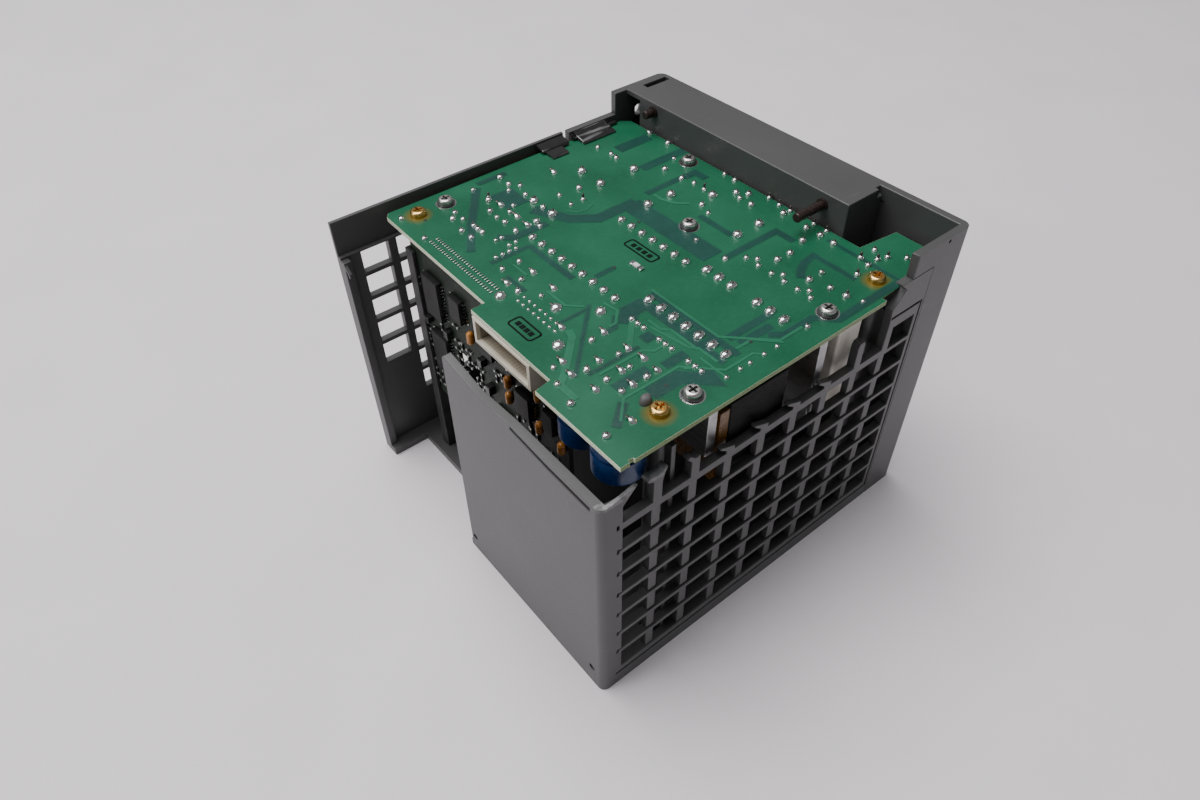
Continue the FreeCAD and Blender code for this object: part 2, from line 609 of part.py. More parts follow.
def line_choke_windings():
    """Two half windings, each a row of thick turns around the ring."""
    turns = []
    for half in (0, 1):
        for step in range(9):
            angle = math.radians(18 + half * 180 + step * 18)
            centre = Vector(-45.0 + 9.0 * math.cos(angle), 24.0 + 9.0 * math.sin(angle), 86.0)
            along = Vector(-math.sin(angle), math.cos(angle), 0)
            turns.append(Part.makeTorus(4.1, 0.75, centre, along))
    return group(turns)


def filter_capacitor():
    block = box(50.0, 64.5, 23.5, 34.0, 62.0, BOARD_LOW - 0.6)
    return rounded(block, 0.8, lambda p: abs(p.z - 80) < 5)


def suppression_capacitor():
    block = box(-27.0, -9.0, 14.0, 24.0, 84.0, BOARD_LOW - 0.6)
    return rounded(block, 0.8, lambda p: abs(p.z - 92) < 5)


def bridge_rectifier():
    body = box(-4.0, 16.0, 34.0, 38.2, 78.0, 97.0)
    legs = [box(x - 0.5, x + 0.5, 35.7, 36.5, 96.8, BOARD_LOW) for x in (-0.5, 4.2, 8.0, 12.8)]
    return join([body] + legs)


def disc_part(x, y, radius, thickness):
    """Round disc on two legs."""
    z = BOARD_LOW - radius - 2.4
    disc = rod(x, y - thickness / 2, z, radius, thickness, (0, 1, 0))
    legs = [rod(x + s, y, z, 0.35, BOARD_LOW - z) for s in (-3.75, 3.75)]
    return join([disc] + legs)


def surge_varistor():
    return disc_part(-10.0, 45.0, 7.0, 4.0)


def inrush_thermistor():
    return disc_part(24.0, 42.0, 6.5, 5.0)


def output_choke():
    """Drum core with a belly of wire between two flanges."""
    x, y = 38.0, -42.6
    pieces = [rod(x, y, 76.0, 6.0, 1.8), rod(x, y, 77.5, 4.9, 18.0), rod(x, y, 95.0, 6.0, 1.8)]
    legs = [rod(x + s, y, 96.5, 0.5, BOARD_LOW - FLANGE_T - 96.6) for s in (-3.0, 3.0)]
    return join(pieces + legs)


def optocouplers():
    return group([box(x - 2.4, x + 2.4, 0.0, 6.4, BOARD_LOW - 4.2, BOARD_LOW - 0.5)
                  for x in (-6.0, -14.0)])


# ---- control board and backplane socket ---------------------------------------------
CONTROL_Y = (-53.2, -51.6)
CONTROL_X = (-53.0, 31.0)
CONTROL_LOW = 34.0
CABLE_NOTCH = (-31.0, -17.5, 67.0)   # x0, x1 and height of the notch in its lower edge


def control_board():
    """Upright board under the rear edge, cut away below the backplane socket."""
    x0, x1 = CONTROL_X
    y0, y1 = CONTROL_Y
    n0, n1, notch_z = CABLE_NOTCH
    points = [(x0, CONTROL_LOW), (n0, CONTROL_LOW), (n0, notch_z), (n1, notch_z),
              (n1, CONTROL_LOW), (x1, CONTROL_LOW), (x1, 89.5), (SOCKET_X0 - 2.0, 89.5),
              (SOCKET_X0 - 2.0, 99.0), (x0, 99.0)]
    return prism([(x, y0, z) for x, z in points], (0, y1 - y0, 0))


def control_board_guide():
    """Slotted upright on the floor that holds the control board's outer edge."""
    x = CONTROL_X[0]
    y0, y1 = CONTROL_Y
    post = box(x - 1.6, x + 3.0, y0 - 1.4, y1 + 1.4, FLOOR, 96.5)
    slot = box(x - 0.05, x + 4.0, y0 - 0.05, y1 + 0.05, CONTROL_LOW - 0.05, 97.0)
    return post.cut(slot)


def control_header():
    """Strip of right-angle pins that joins the two boards."""
    strip = box(-43.0, -7.0, CONTROL_Y[1], CONTROL_Y[1] + 2.4, 95.5, 98.0)
    pins = [box(x - 0.3, x + 0.3, CONTROL_Y[1] + 0.9, CONTROL_Y[1] + 1.5, 97.8, BOARD_LOW)
            for x in header_places()]
    return join([strip] + pins)


def header_places():
    return [-41.5 + 2.0 * i for i in range(17)]


def control_chips():
    """Flat packages on the rear face of the control board."""
    y1 = CONTROL_Y[0]
    sizes = [(-40.0, 84.0, 9.5, 16.0), (-40.0, 60.0, 9.5, 16.0), (-25.0, 88.0, 6.4, 9.0),
             (-8.0, 84.0, 6.4, 9.0), (10.0, 72.0, 7.5, 9.5), (23.5, 75.0, 5.0, 8.2),
             (-4.0, 52.0, 7.5, 12.8)]
    return group([box(x - w / 2, x + w / 2, y1 - 2.2, y1, z - h / 2, z + h / 2)
                  for x, z, w, h in sizes])


def tantalum_capacitors():
    """Orange dipped capsules standing on the control board."""
    radius = 1.3
    y = CONTROL_Y[0] - radius
    beads = []
    for x, z in ((-18.3, 80.6), (1.9, 75.8), (1.8, 69.0), (18.5, 82.5), (17.8, 68.2),
                 (29.0, 68.3)):
        ends = [Part.makeSphere(radius, Vector(x, y, z + s)) for s in (-1.3, 1.3)]
        beads.append(join([rod(x, y, z - 1.3, radius, 2.6)] + ends))
    return group(beads)


def control_passives():
    """Small upright film and ceramic parts on the control board."""
    y1 = CONTROL_Y[0]
    sizes = [(-13.0, 74.0, 2.4, 3.0), (-34.0, 72.0, 2.6, 3.4), (-46.5, 71.0, 2.4, 2.4),
             (6.0, 86.0, 3.6, 2.4), (-10.0, 64.0, 2.6, 3.6)]
    return group([box(x - w / 2, x + w / 2, y1 - 2.4, y1, z - h / 2, z + h / 2)
                  for x, z, w, h in sizes])


SOCKET_REAR = -60.2
SOCKET_BACK = -51.8
SOCKET_LOW = 91.4
SOCKET_ROOF = BOARD_LOW - 1.3
CONTACT_PITCH = 1.27


def backplane_socket():
    """Shrouded socket under the board's tongue; its mouth faces the rear."""
    shell = box(SOCKET_X0, SOCKET_X1, SOCKET_REAR, SOCKET_BACK, SOCKET_LOW, BOARD_LOW - 0.1)
    mouth = box(SOCKET_X0 + 1.4, SOCKET_X1 - 1.4, SOCKET_REAR - 1, SOCKET_BACK - 1.6,
                SOCKET_LOW + 1.4, SOCKET_ROOF)
    return shell.cut(mouth)


def socket_contacts():
    """Comb of fine spring strips along the roof and the back of the mouth."""
    back = SOCKET_BACK - 1.6
    strips = []
    for i in range(18):
        x = -1.05 + CONTACT_PITCH * i
        roof = box(x - 0.28, x + 0.28, SOCKET_REAR + 2.2, back, SOCKET_ROOF - 0.4, SOCKET_ROOF)
        drop = box(x - 0.28, x + 0.28, back - 0.4, back, SOCKET_LOW + 2.6, SOCKET_ROOF)
        strips.append(join([roof, drop]))
    return group(strips)


# ---- terminal compartment -----------------------------------------------------------
def terminal_places():
    return [TERMINAL_X0 + i * TERMINAL_PITCH for i in range(TERMINALS)]


def terminal_block():
    """Barrier strip: one pocket and one screw bore for each wire."""
    x0 = TERMINAL_X0 - TERMINAL_PITCH / 2 - 1.5
    x1 = TERMINAL_X0 + (TERMINALS - 0.5) * TERMINAL_PITCH + 1.5
    body = box(x0, x1, BOX_BACK, BLOCK_FRONT, BLOCK_Z0, BLOCK_Z1)
    tools = []
    for x in terminal_places():
        tools.append(box(x - 4.1, x + 4.1, POCKET_FLOOR, BLOCK_FRONT + 1, BLOCK_Z0 - 1,
                         SCREW_Z + 9.0))
        tools.append(rod(x, BOX_BACK + 0.4, SCREW_Z, 1.75, 5.0, (0, 1, 0)))
        tools.append(box(x - 2.2, x + 2.2, BOX_BACK - 1, POCKET_FLOOR + 0.01, SCREW_Z + 4.0,
                         SCREW_Z + 6.0))
    return cut_all(body, tools)


def terminal_clamps():
    """Square clamping plates that lie on the pocket floors under the screw heads."""
    y = POCKET_FLOOR
    plates = []
    for x in terminal_places():
        plate = box(x - 3.6, x + 3.6, y, y + 1.0, SCREW_Z - 4.0, SCREW_Z + 7.0)
        plates.append(plate.cut(rod(x, y - 1, SCREW_Z, 1.8, 3, (0, 1, 0))))
    return group(plates)


def terminal_screw(x):
    """Binding head screw with a cross recess, turned from the front."""
    seat = POCKET_FLOOR + 1.05
    head = rod(x, seat, SCREW_Z, 3.3, 2.0, (0, 1, 0))
    head = rounded(head, 0.6, lambda p: p.y > seat + 1.9)
    arms = [box(x - 1.9, x + 1.9, seat + 1.0, seat + 3, SCREW_Z - 0.45, SCREW_Z + 0.45),
            box(x - 0.45, x + 0.45, seat + 1.0, seat + 3, SCREW_Z - 1.9, SCREW_Z + 1.9)]
    stem = rod(x, BOX_BACK + 0.8, SCREW_Z, 1.7, seat - BOX_BACK - 0.6, (0, 1, 0))
    return cut_all(join([head, stem]), [join(arms)])


def terminal_leads():
    """Metal straps from the main board down to each terminal."""
    leads = []
    for x in terminal_places():
        drop = box(x - 2.0, x + 2.0, LEAD_Y, LEAD_Y + 1.0, SCREW_Z + 4.4, BOARD_LOW)
        reach = box(x - 2.0, x + 2.0, LEAD_Y, POCKET_FLOOR - 0.1, SCREW_Z + 4.4,
                    SCREW_Z + 5.6)
        leads.append(join([drop, reach]))
    return group(leads)


JUMPER_X = 22.0
JUMPER_Z = 88.0
JUMPER_PITCH = 5.08


def jumper_base():
    return box(JUMPER_X - 3.5, JUMPER_X + 3.5, BOX_BACK, BOX_BACK + 3.0, JUMPER_Z - 9.0,
               JUMPER_Z + 9.0)


def jumper_pins():
    """Three contact posts for the line voltage selection."""
    return group([box(JUMPER_X - 0.5, JUMPER_X + 0.5, BOX_BACK + 3.0, BOX_BACK + 8.4,
                      JUMPER_Z + i * JUMPER_PITCH - 0.5, JUMPER_Z + i * JUMPER_PITCH + 0.5)
                  for i in (-1, 0, 1)])


def voltage_jumper():
    """Shorting plug over the upper two posts; pulled forward to move it."""
    y0 = BOX_BACK + 3.1
    z = JUMPER_Z + JUMPER_PITCH / 2
    body = box(JUMPER_X - 2.6, JUMPER_X + 2.6, y0, y0 + 6.2, z - 4.9, z + 4.9)
    grip = box(JUMPER_X - 1.2, JUMPER_X + 1.2, y0 + 6.0, y0 + 6.4, z - 4.0, z + 4.0)
    sockets = [box(JUMPER_X - 0.56, JUMPER_X + 0.56, y0 - 1, y0 + 5.6,
                   JUMPER_Z + i * JUMPER_PITCH - 0.56, JUMPER_Z + i * JUMPER_PITCH + 0.56)
               for i in (0, 1)]
    return cut_all(join([body, grip]), sockets)


FUSE_X = -30.0
FUSE_Y = BOX_BACK + 6.4
FUSE_Z = (74.0, 94.0)
FUSE_R = 2.6


def fuse_base():
    return box(FUSE_X - 5.0, FUSE_X + 5.0, BOX_BACK, BOX_BACK + 2.4, FUSE_Z[0] - 3.0,
               FUSE_Z[1] + 3.0)


def fuse_clips():
    """Two springy forks that grip the end caps; open to the front."""
    clips = []
    for z in (FUSE_Z[0] + 1.0, FUSE_Z[1] - 5.0):
        ring = tube(FUSE_X, FUSE_Y, z, FUSE_R + 0.75, FUSE_R + 0.25, 4.0)
        ring = ring.cut(box(FUSE_X - 5, FUSE_X + 5, FUSE_Y + 0.7, FUSE_Y + 6, z - 1, z + 5))
        foot = box(FUSE_X - 1.5, FUSE_X + 1.5, BOX_BACK + 2.4, FUSE_Y - FUSE_R - 0.4, z, z + 4)
        lips = []
        for side in (-1, 1):
            x = FUSE_X + side * 2.95
            lips.append(box(x - 0.27, x + 0.27, FUSE_Y + 0.6, FUSE_Y + 2.6, z, z + 4))
        clips.append(join([ring, foot] + lips))
    return group(clips)


def fuse_tube():
    return rod(FUSE_X, FUSE_Y, FUSE_Z[0] + 5.5, FUSE_R - 0.2, FUSE_Z[1] - FUSE_Z[0] - 11.0)


def fuse_caps():
    caps = []
    for z in (FUSE_Z[0], FUSE_Z[1] - 5.5):
        caps.append(rod(FUSE_X, FUSE_Y, z, FUSE_R, 5.5))
    return group(caps)


# ---- write every node ---------------------------------------------------------------
NODES = {
    "housing_shell": housing_shell,
    "front_bezel": front_bezel,
    "guide_pegs": guide_pegs,
    "terminal_door": door_leaf,
    "door_hinge_pins": hinge_pins,
    "board_latch": board_latch,
    "front_label": front_label,
    "light_pipe": light_pipe,
    "power_led": power_led,
    "main_board": main_board,
    "case_board_screws": case_board_screws,
    "bracket_screws": bracket_screws,
    "bracket_washers": bracket_washers,
    "heat_sink_rear": heat_sink_rear,
    "heat_sink_front": heat_sink_front,
    "earth_bracket": earth_bracket,
    "rectifier_diodes": rectifier_diodes,
    "switch_transistors": switch_transistors,
    "insulator_pads": insulator_pads,
    "device_screws": device_screws,
    "transformer_core": transformer_core,
    "transformer_winding": transformer_winding,
    "bulk_capacitors": bulk_capacitors,
    "output_capacitors": output_capacitors,
    "small_capacitors": small_capacitors,
    "line_choke_core": line_choke_core,
    "line_choke_windings": line_choke_windings,
    "filter_capacitor": filter_capacitor,
    "suppression_capacitor": suppression_capacitor,
    "bridge_rectifier": bridge_rectifier,
    "surge_varistor": surge_varistor,
    "inrush_thermistor": inrush_thermistor,
    "output_choke": output_choke,
    "optocouplers": optocouplers,
    "control_board": control_board,
    "control_board_guide": control_board_guide,
    "control_header": control_header,
    "control_chips": control_chips,
    "tantalum_capacitors": tantalum_capacitors,
    "control_passives": control_passives,
    "backplane_socket": backplane_socket,
    "socket_contacts": socket_contacts,
    "terminal_block": terminal_block,
    "terminal_clamps": terminal_clamps,
    "terminal_leads": terminal_leads,
    "jumper_base": jumper_base,
    "jumper_pins": jumper_pins,
    "voltage_jumper": voltage_jumper,
    "fuse_base": fuse_base,
    "fuse_clips": fuse_clips,
    "fuse_tube": fuse_tube,
    "fuse_caps": fuse_caps,
}

os.makedirs("parts", exist_ok=True)
for name, build in NODES.items():
    build().exportStep("parts/" + name + ".step")
for number, place in enumerate(terminal_places(), start=1):
    terminal_screw(place).exportStep("parts/terminal_screw_%d.step" % number)
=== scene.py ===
import json
import math
import random

import bmesh
import bpy
from mathutils import Matrix, Vector


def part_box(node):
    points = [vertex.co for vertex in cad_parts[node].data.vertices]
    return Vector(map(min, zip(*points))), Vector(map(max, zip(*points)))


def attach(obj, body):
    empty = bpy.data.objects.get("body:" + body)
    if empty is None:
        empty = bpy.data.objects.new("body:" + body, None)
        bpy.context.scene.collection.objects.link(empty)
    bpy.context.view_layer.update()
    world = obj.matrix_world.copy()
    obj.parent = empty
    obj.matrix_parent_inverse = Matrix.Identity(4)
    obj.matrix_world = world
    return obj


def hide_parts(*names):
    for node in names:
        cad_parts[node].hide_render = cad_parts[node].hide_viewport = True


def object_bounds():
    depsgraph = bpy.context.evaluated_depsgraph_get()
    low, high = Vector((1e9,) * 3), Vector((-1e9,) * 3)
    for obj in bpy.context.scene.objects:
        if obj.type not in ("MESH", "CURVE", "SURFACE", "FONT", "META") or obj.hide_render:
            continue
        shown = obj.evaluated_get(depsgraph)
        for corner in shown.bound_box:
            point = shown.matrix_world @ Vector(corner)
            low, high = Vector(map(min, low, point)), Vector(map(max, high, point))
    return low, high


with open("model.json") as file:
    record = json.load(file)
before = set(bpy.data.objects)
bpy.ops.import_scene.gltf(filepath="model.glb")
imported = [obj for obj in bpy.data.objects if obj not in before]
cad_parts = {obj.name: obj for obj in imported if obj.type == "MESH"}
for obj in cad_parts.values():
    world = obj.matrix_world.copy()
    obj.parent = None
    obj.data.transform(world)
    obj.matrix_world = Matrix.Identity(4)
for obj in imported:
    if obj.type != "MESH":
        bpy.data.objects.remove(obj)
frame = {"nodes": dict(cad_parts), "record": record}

# Rack power supply module, looks only.  The frame gives the places of the CAD parts.  The CAD
# model has no solder and no copper: their places on the main board are lists read from
# the photograph, and so are those of its stamps, open holes, chip and sealing dab.  Lengths
# written as plain numbers are millimetres and are turned into metres where they are used; the
# places and sizes of the camera, the lights and the floor are in metres.
CAD_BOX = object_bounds()
MM = 0.001
HOUSING = "housing"
RECORD = frame["record"]
SLOT_OF = {part["node"]: part["material_slot"] for part in RECORD["subparts"]}
BODY_OF = {node: body for body, nodes in RECORD["behaviour"]["bodies"].items() for node in nodes}
BOARD_LOW, BOARD_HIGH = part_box("main_board")
CASE_LOW, CASE_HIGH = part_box("housing_shell")
TOP = BOARD_HIGH.z
SHUFFLE = random.Random(7)
WELD = 2e-6                # corners nearer than this, in metres, are one corner
FINE_PITCH = 1.27          # of chip legs, header pins and socket contacts


# ---- camera and light ------------------------------------------------------------------
CAMERA_PLACE = (0.17412, -0.154406, 0.260939)
CAMERA_AZIMUTH = math.radians(51.613)
CAMERA_ELEVATION = math.radians(44.474)
CAMERA_ROLL = math.radians(-0.909)
CAMERA_LENS = 26.08
LIGHT_TARGET = (0, 0, 0.05)


def camera():
    """Camera at the photograph's viewing angle."""
    back = Vector((math.sin(CAMERA_AZIMUTH) * math.cos(CAMERA_ELEVATION),
                   -math.cos(CAMERA_AZIMUTH) * math.cos(CAMERA_ELEVATION),
                   math.sin(CAMERA_ELEVATION)))
    level = Vector((0, 0, 1)).cross(back).normalized()
    upright = back.cross(level)
    right = level * math.cos(CAMERA_ROLL) + upright * math.sin(CAMERA_ROLL)
    up = upright * math.cos(CAMERA_ROLL) - level * math.sin(CAMERA_ROLL)
    data = bpy.data.cameras.new("camera")
    data.sensor_width = 36.0
    data.lens = CAMERA_LENS
    data.clip_start = 0.01
    data.clip_end = 20.0
    item = bpy.data.objects.new("camera", data)
    bpy.context.scene.collection.objects.link(item)
    turn = Matrix((right, up, back)).transposed()
    item.matrix_world = Matrix.Translation(CAMERA_PLACE) @ turn.to_4x4()
    bpy.context.scene.camera = item


def area_light(name, place, size, watts, colour):
    data = bpy.data.lights.new(name, "AREA")
    data.shape = "DISK"
    data.size = size
    data.energy = watts
    data.color = colour
    item = bpy.data.objects.new(name, data)
    item.location = place
    aim = Vector(LIGHT_TARGET) - Vector(place)
    item.rotation_euler = aim.to_track_quat("-Z", "Y").to_euler()
    bpy.context.scene.collection.objects.link(item)


def lights():
    """A broad soft ceiling of light, a window towards the rear plate and a dim room."""
    area_light("ceiling", (-0.40, -0.20, 1.6), 1.5, 41.0, (1.0, 0.985, 0.99))
    area_light("window", (-0.45, -1.45, 0.95), 0.8, 6.5, (0.98, 0.98, 1.0))
    world = bpy.data.worlds.new("room")
    world.use_nodes = True
    background = world.node_tree.nodes["Background"]
    background.inputs["Color"].default_value = (0.80, 0.80, 0.83, 1)
    background.inputs["Strength"].default_value = 0.24
    bpy.context.scene.world = world


# ---- materials -------------------------------------------------------------------------
def shader(name):
    """A new material, its node tree, its surface shader and the place on the object."""
    material = bpy.data.materials.new(name)
    material.use_nodes = True
    tree = material.node_tree
    surface = tree.nodes["Principled BSDF"]
    place = tree.nodes.new("ShaderNodeTexCoord").outputs["Object"]
    return material, tree, surface, place


def noise(tree, place, size_mm, detail=4.0, stretch=(1, 1, 1)):
    """Noise whose features are about size_mm across, longer along a small stretch."""
    scale = tree.nodes.new("ShaderNodeMapping")
    scale.inputs["Scale"].default_value = stretch
    tree.links.new(place, scale.inputs["Vector"])
    node = tree.nodes.new("ShaderNodeTexNoise")
    node.inputs["Scale"].default_value = 1.0 / (size_mm * MM)
    node.inputs["Detail"].default_value = detail
    tree.links.new(scale.outputs["Vector"], node.inputs["Vector"])
    return node.outputs["Fac"]


def ramp(tree, factor, stops):
    """Colours or greys between given positions; stops are (position, colour)."""
    node = tree.nodes.new("ShaderNodeValToRGB")
    band = node.color_ramp
    while len(band.elements) < len(stops):
        band.elements.new(0.5)
    for element, (position, colour) in zip(band.elements, stops):
        element.position = position
        element.color = colour if len(colour) == 4 else (*colour, 1.0)
    tree.links.new(factor, node.inputs["Fac"])
    return node.outputs["Color"]


def grey(value):
    return (value, value, value)


def blend_colour(tree, factor, first, second):
    """First where the factor is 0, second where it is 1; each a socket or a colour."""
    node = tree.nodes.new("ShaderNodeMix")
    node.data_type = "RGBA"
    for socket, value in (("A_Color", first), ("B_Color", second)):
        target = next(i for i in node.inputs if i.identifier == socket)
        if isinstance(value, tuple):
            target.default_value = (*value, 1.0)
        else:
            tree.links.new(value, target)
    tree.links.new(factor, node.inputs["Factor"])
    return next(o for o in node.outputs if o.identifier == "Result_Color")


def calc(tree, operation, first, second=0.0):
    """One step of arithmetic on sockets or numbers."""
    node = tree.nodes.new("ShaderNodeMath")
    node.operation = operation
    for index, value in enumerate((first, second)):
        if isinstance(value, (int, float)):
            node.inputs[index].default_value = value
        else:
            tree.links.new(value, node.inputs[index])
    return node.outputs[0]


def axis_of(tree, vector, axis):
    node = tree.nodes.new("ShaderNodeSeparateXYZ")
    tree.links.new(vector, node.inputs[0])
    return node.outputs[axis]


def between(tree, value, low, high, soft):
    """1 inside low..high, falling to 0 over soft on both sides."""
    rise = calc(tree, "DIVIDE", calc(tree, "SUBTRACT", value, low - soft), soft)
    fall = calc(tree, "DIVIDE", calc(tree, "SUBTRACT", high + soft, value), soft)
    both = calc(tree, "MINIMUM", rise, fall)
    node = tree.nodes.new("ShaderNodeClamp")
    tree.links.new(both, node.inputs["Value"])
    return node.outputs[0]


def distance_to(tree, place, point):
    node = tree.nodes.new("ShaderNodeVectorMath")
    node.operation = "DISTANCE"
    tree.links.new(place, node.inputs[0])
    node.inputs[1].default_value = point
    return node.outputs["Value"]


def bump(tree, surface, height, depth_mm, strength=1.0):
    node = tree.nodes.new("ShaderNodeBump")
    node.inputs["Distance"].default_value = depth_mm * MM
    node.inputs["Strength"].default_value = strength
    tree.links.new(height, node.inputs["Height"])
    tree.links.new(node.outputs["Normal"], surface.inputs["Normal"])


def roughness(tree, surface, factor, low, high):
    tree.links.new(ramp(tree, factor, [(0.3, grey(low)), (0.7, grey(high))]),
                   surface.inputs["Roughness"])


def mottled(name, dark, light, patch=6.0, rough=(0.4, 0.55), metallic=0.0, grain=0.3,
            depth=0.01, stretch=(1, 1, 1), specular=0.5):
    """Two near colours in soft patches, uneven gloss and a fine surface grain."""
    material, tree, surface, place = shader(name)
    patches = noise(tree, place, patch, 5.0, stretch)
    colour = ramp(tree, patches, [(0.32, dark), (0.68, light)])
    tree.links.new(colour, surface.inputs["Base Color"])
    fine = noise(tree, place, grain, 3.0, stretch)
    roughness(tree, surface, fine, *rough)
    bump(tree, surface, fine, depth)
    surface.inputs["Metallic"].default_value = metallic
    surface.inputs["Specular IOR Level"].default_value = specular
    return material


TORN_DEPTH = 2.6           # of the torn border, inwards from the wall's outer face
TORN_LOW = 91.2
TORN_HIGH = 96.0
TORN_END_Y = -47.0


def case_plastic(name="case_plastic", tint=1.0):
    """Moulded dark grey plastic: satin grain, light scuffs, pale where it tore."""
    material, tree, surface, place = shader(name)
    broad = noise(tree, place, 35.0, 4.0)
    base = ramp(tree, broad, [(0.3, grey(0.052 * tint)), (0.7, grey(0.062 * tint))])
    scuffs = noise(tree, place, 2.2, 6.0, (1.0, 0.16, 0.5))
    worn = ramp(tree, scuffs, [(0.66, grey(0.0)), (0.78, grey(0.30))])
    base = blend_colour(tree, worn, base, grey(0.11))
    x = axis_of(tree, place, "X")
    y = axis_of(tree, place, "Y")
    z = axis_of(tree, place, "Z")
    wall = between(tree, x, CASE_HIGH.x - TORN_DEPTH * MM, CASE_HIGH.x, 0.4 * MM)
    top = between(tree, z, TORN_LOW * MM, TORN_HIGH * MM, 0.9 * MM)
    rear = between(tree, y, CASE_LOW.y, TORN_END_Y * MM, 1.0 * MM)
    patchy = ramp(tree, noise(tree, place, 2.0, 3.0), [(0.35, grey(0.1)), (0.6, grey(1.0))])
    torn = calc(tree, "MULTIPLY", calc(tree, "MULTIPLY", wall, top),
                calc(tree, "MULTIPLY", rear, patchy))
    base = blend_colour(tree, calc(tree, "MULTIPLY", torn, 0.6), base, grey(0.26))
    tree.links.new(base, surface.inputs["Base Color"])
    grain = noise(tree, place, 0.35, 3.0)
    roughness(tree, surface, grain, 0.38, 0.52)
    bump(tree, surface, grain, 0.018, 0.6)
    surface.inputs["IOR"].default_value = 1.58
    return material


def door_plastic():
    return case_plastic("door_plastic", 0.96)


def latch_plastic():
    """Glossy black plastic with long pale streaks painted in as glints of reflected light."""
    material, tree, surface, place = shader("latch_plastic")
    base = ramp(tree, noise(tree, place, 5.0), [(0.3, grey(0.008)), (0.7, grey(0.015))])
    streaks = noise(tree, place, 2.6, 4.0, (1.0, 0.10, 1.0))
    # pale streaks of painted highlight, standing for glints of reflected light
    painted_glints = ramp(tree, streaks, [(0.52, grey(0.0)), (0.66, grey(0.55))])
    tree.links.new(blend_colour(tree, painted_glints, base, grey(0.30)), surface.inputs["Base Color"])
    roughness(tree, surface, streaks, 0.08, 0.20)
    bump(tree, surface, streaks, 0.006)
    surface.inputs["Coat Weight"].default_value = 0.7
    surface.inputs["Coat Roughness"].default_value = 0.06
    return material


def peg_brown():
    """Dark brown moulded pins, a little glossy."""
    return mottled("peg_brown", (0.012, 0.008, 0.007), (0.030, 0.017, 0.014), 1.2,
                   (0.20, 0.36), 0.0, 0.4, 0.01)


LABEL_BORDER = 1.4
LABEL_BAND = (12, 6)       # the band's lower and upper edge, down from the label's top
LABEL_SOFT = 0.1


def label_plastic():
    """Blank front label: pale field, darker border and one plain band."""
    material, tree, surface, place = shader("label_plastic")
    low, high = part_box("front_label")
    x = axis_of(tree, place, "X")
    z = axis_of(tree, place, "Z")
    border = LABEL_BORDER * MM
    soft = LABEL_SOFT * MM
    field = calc(tree, "MULTIPLY",
                 between(tree, x, low.x + border, high.x - border, soft),
                 between(tree, z, low.z + border, high.z - border, soft))
    pale = ramp(tree, noise(tree, place, 4.0), [(0.3, grey(0.40)), (0.7, grey(0.46))])
    base = blend_colour(tree, field, grey(0.10), pale)
    band = calc(tree, "MULTIPLY", field,
                between(tree, z, high.z - LABEL_BAND[0] * MM, high.z - LABEL_BAND[1] * MM,
                        soft))
    base = blend_colour(tree, band, base, (0.05, 0.13, 0.30))
    tree.links.new(base, surface.inputs["Base Color"])
    fine = noise(tree, place, 0.4)
    roughness(tree, surface, fine, 0.3, 0.42)
    bump(tree, surface, fine, 0.008)
    return material


def clear_plastic():
    material = mottled("clear_plastic", grey(0.80), grey(0.88), 2.0, (0.06, 0.14), 0.0, 0.5,
                       0.004)
    surface = material.node_tree.nodes["Principled BSDF"]
    surface.inputs["Transmission Weight"].default_value = 0.85
    surface.inputs["IOR"].default_value = 1.49
    return material


def led_green():
    material = mottled("led_green", (0.03, 0.30, 0.06), (0.06, 0.42, 0.10), 1.0, (0.12, 0.2),
                       0.0, 0.4, 0.004)
    surface = material.node_tree.nodes["Principled BSDF"]
    surface.inputs["Transmission Weight"].default_value = 0.35
    return material


BOARD_GREENS = ((0.0045, 0.078, 0.036), (0.007, 0.104, 0.050))
SCORCH_RADIUS = 5.4        # of the scorched ring round a brass screw
SCORCH_SHIFT = 0.4
EDGE_TURN = 0.93           # a face whose normal is less upright than this is a cut edge


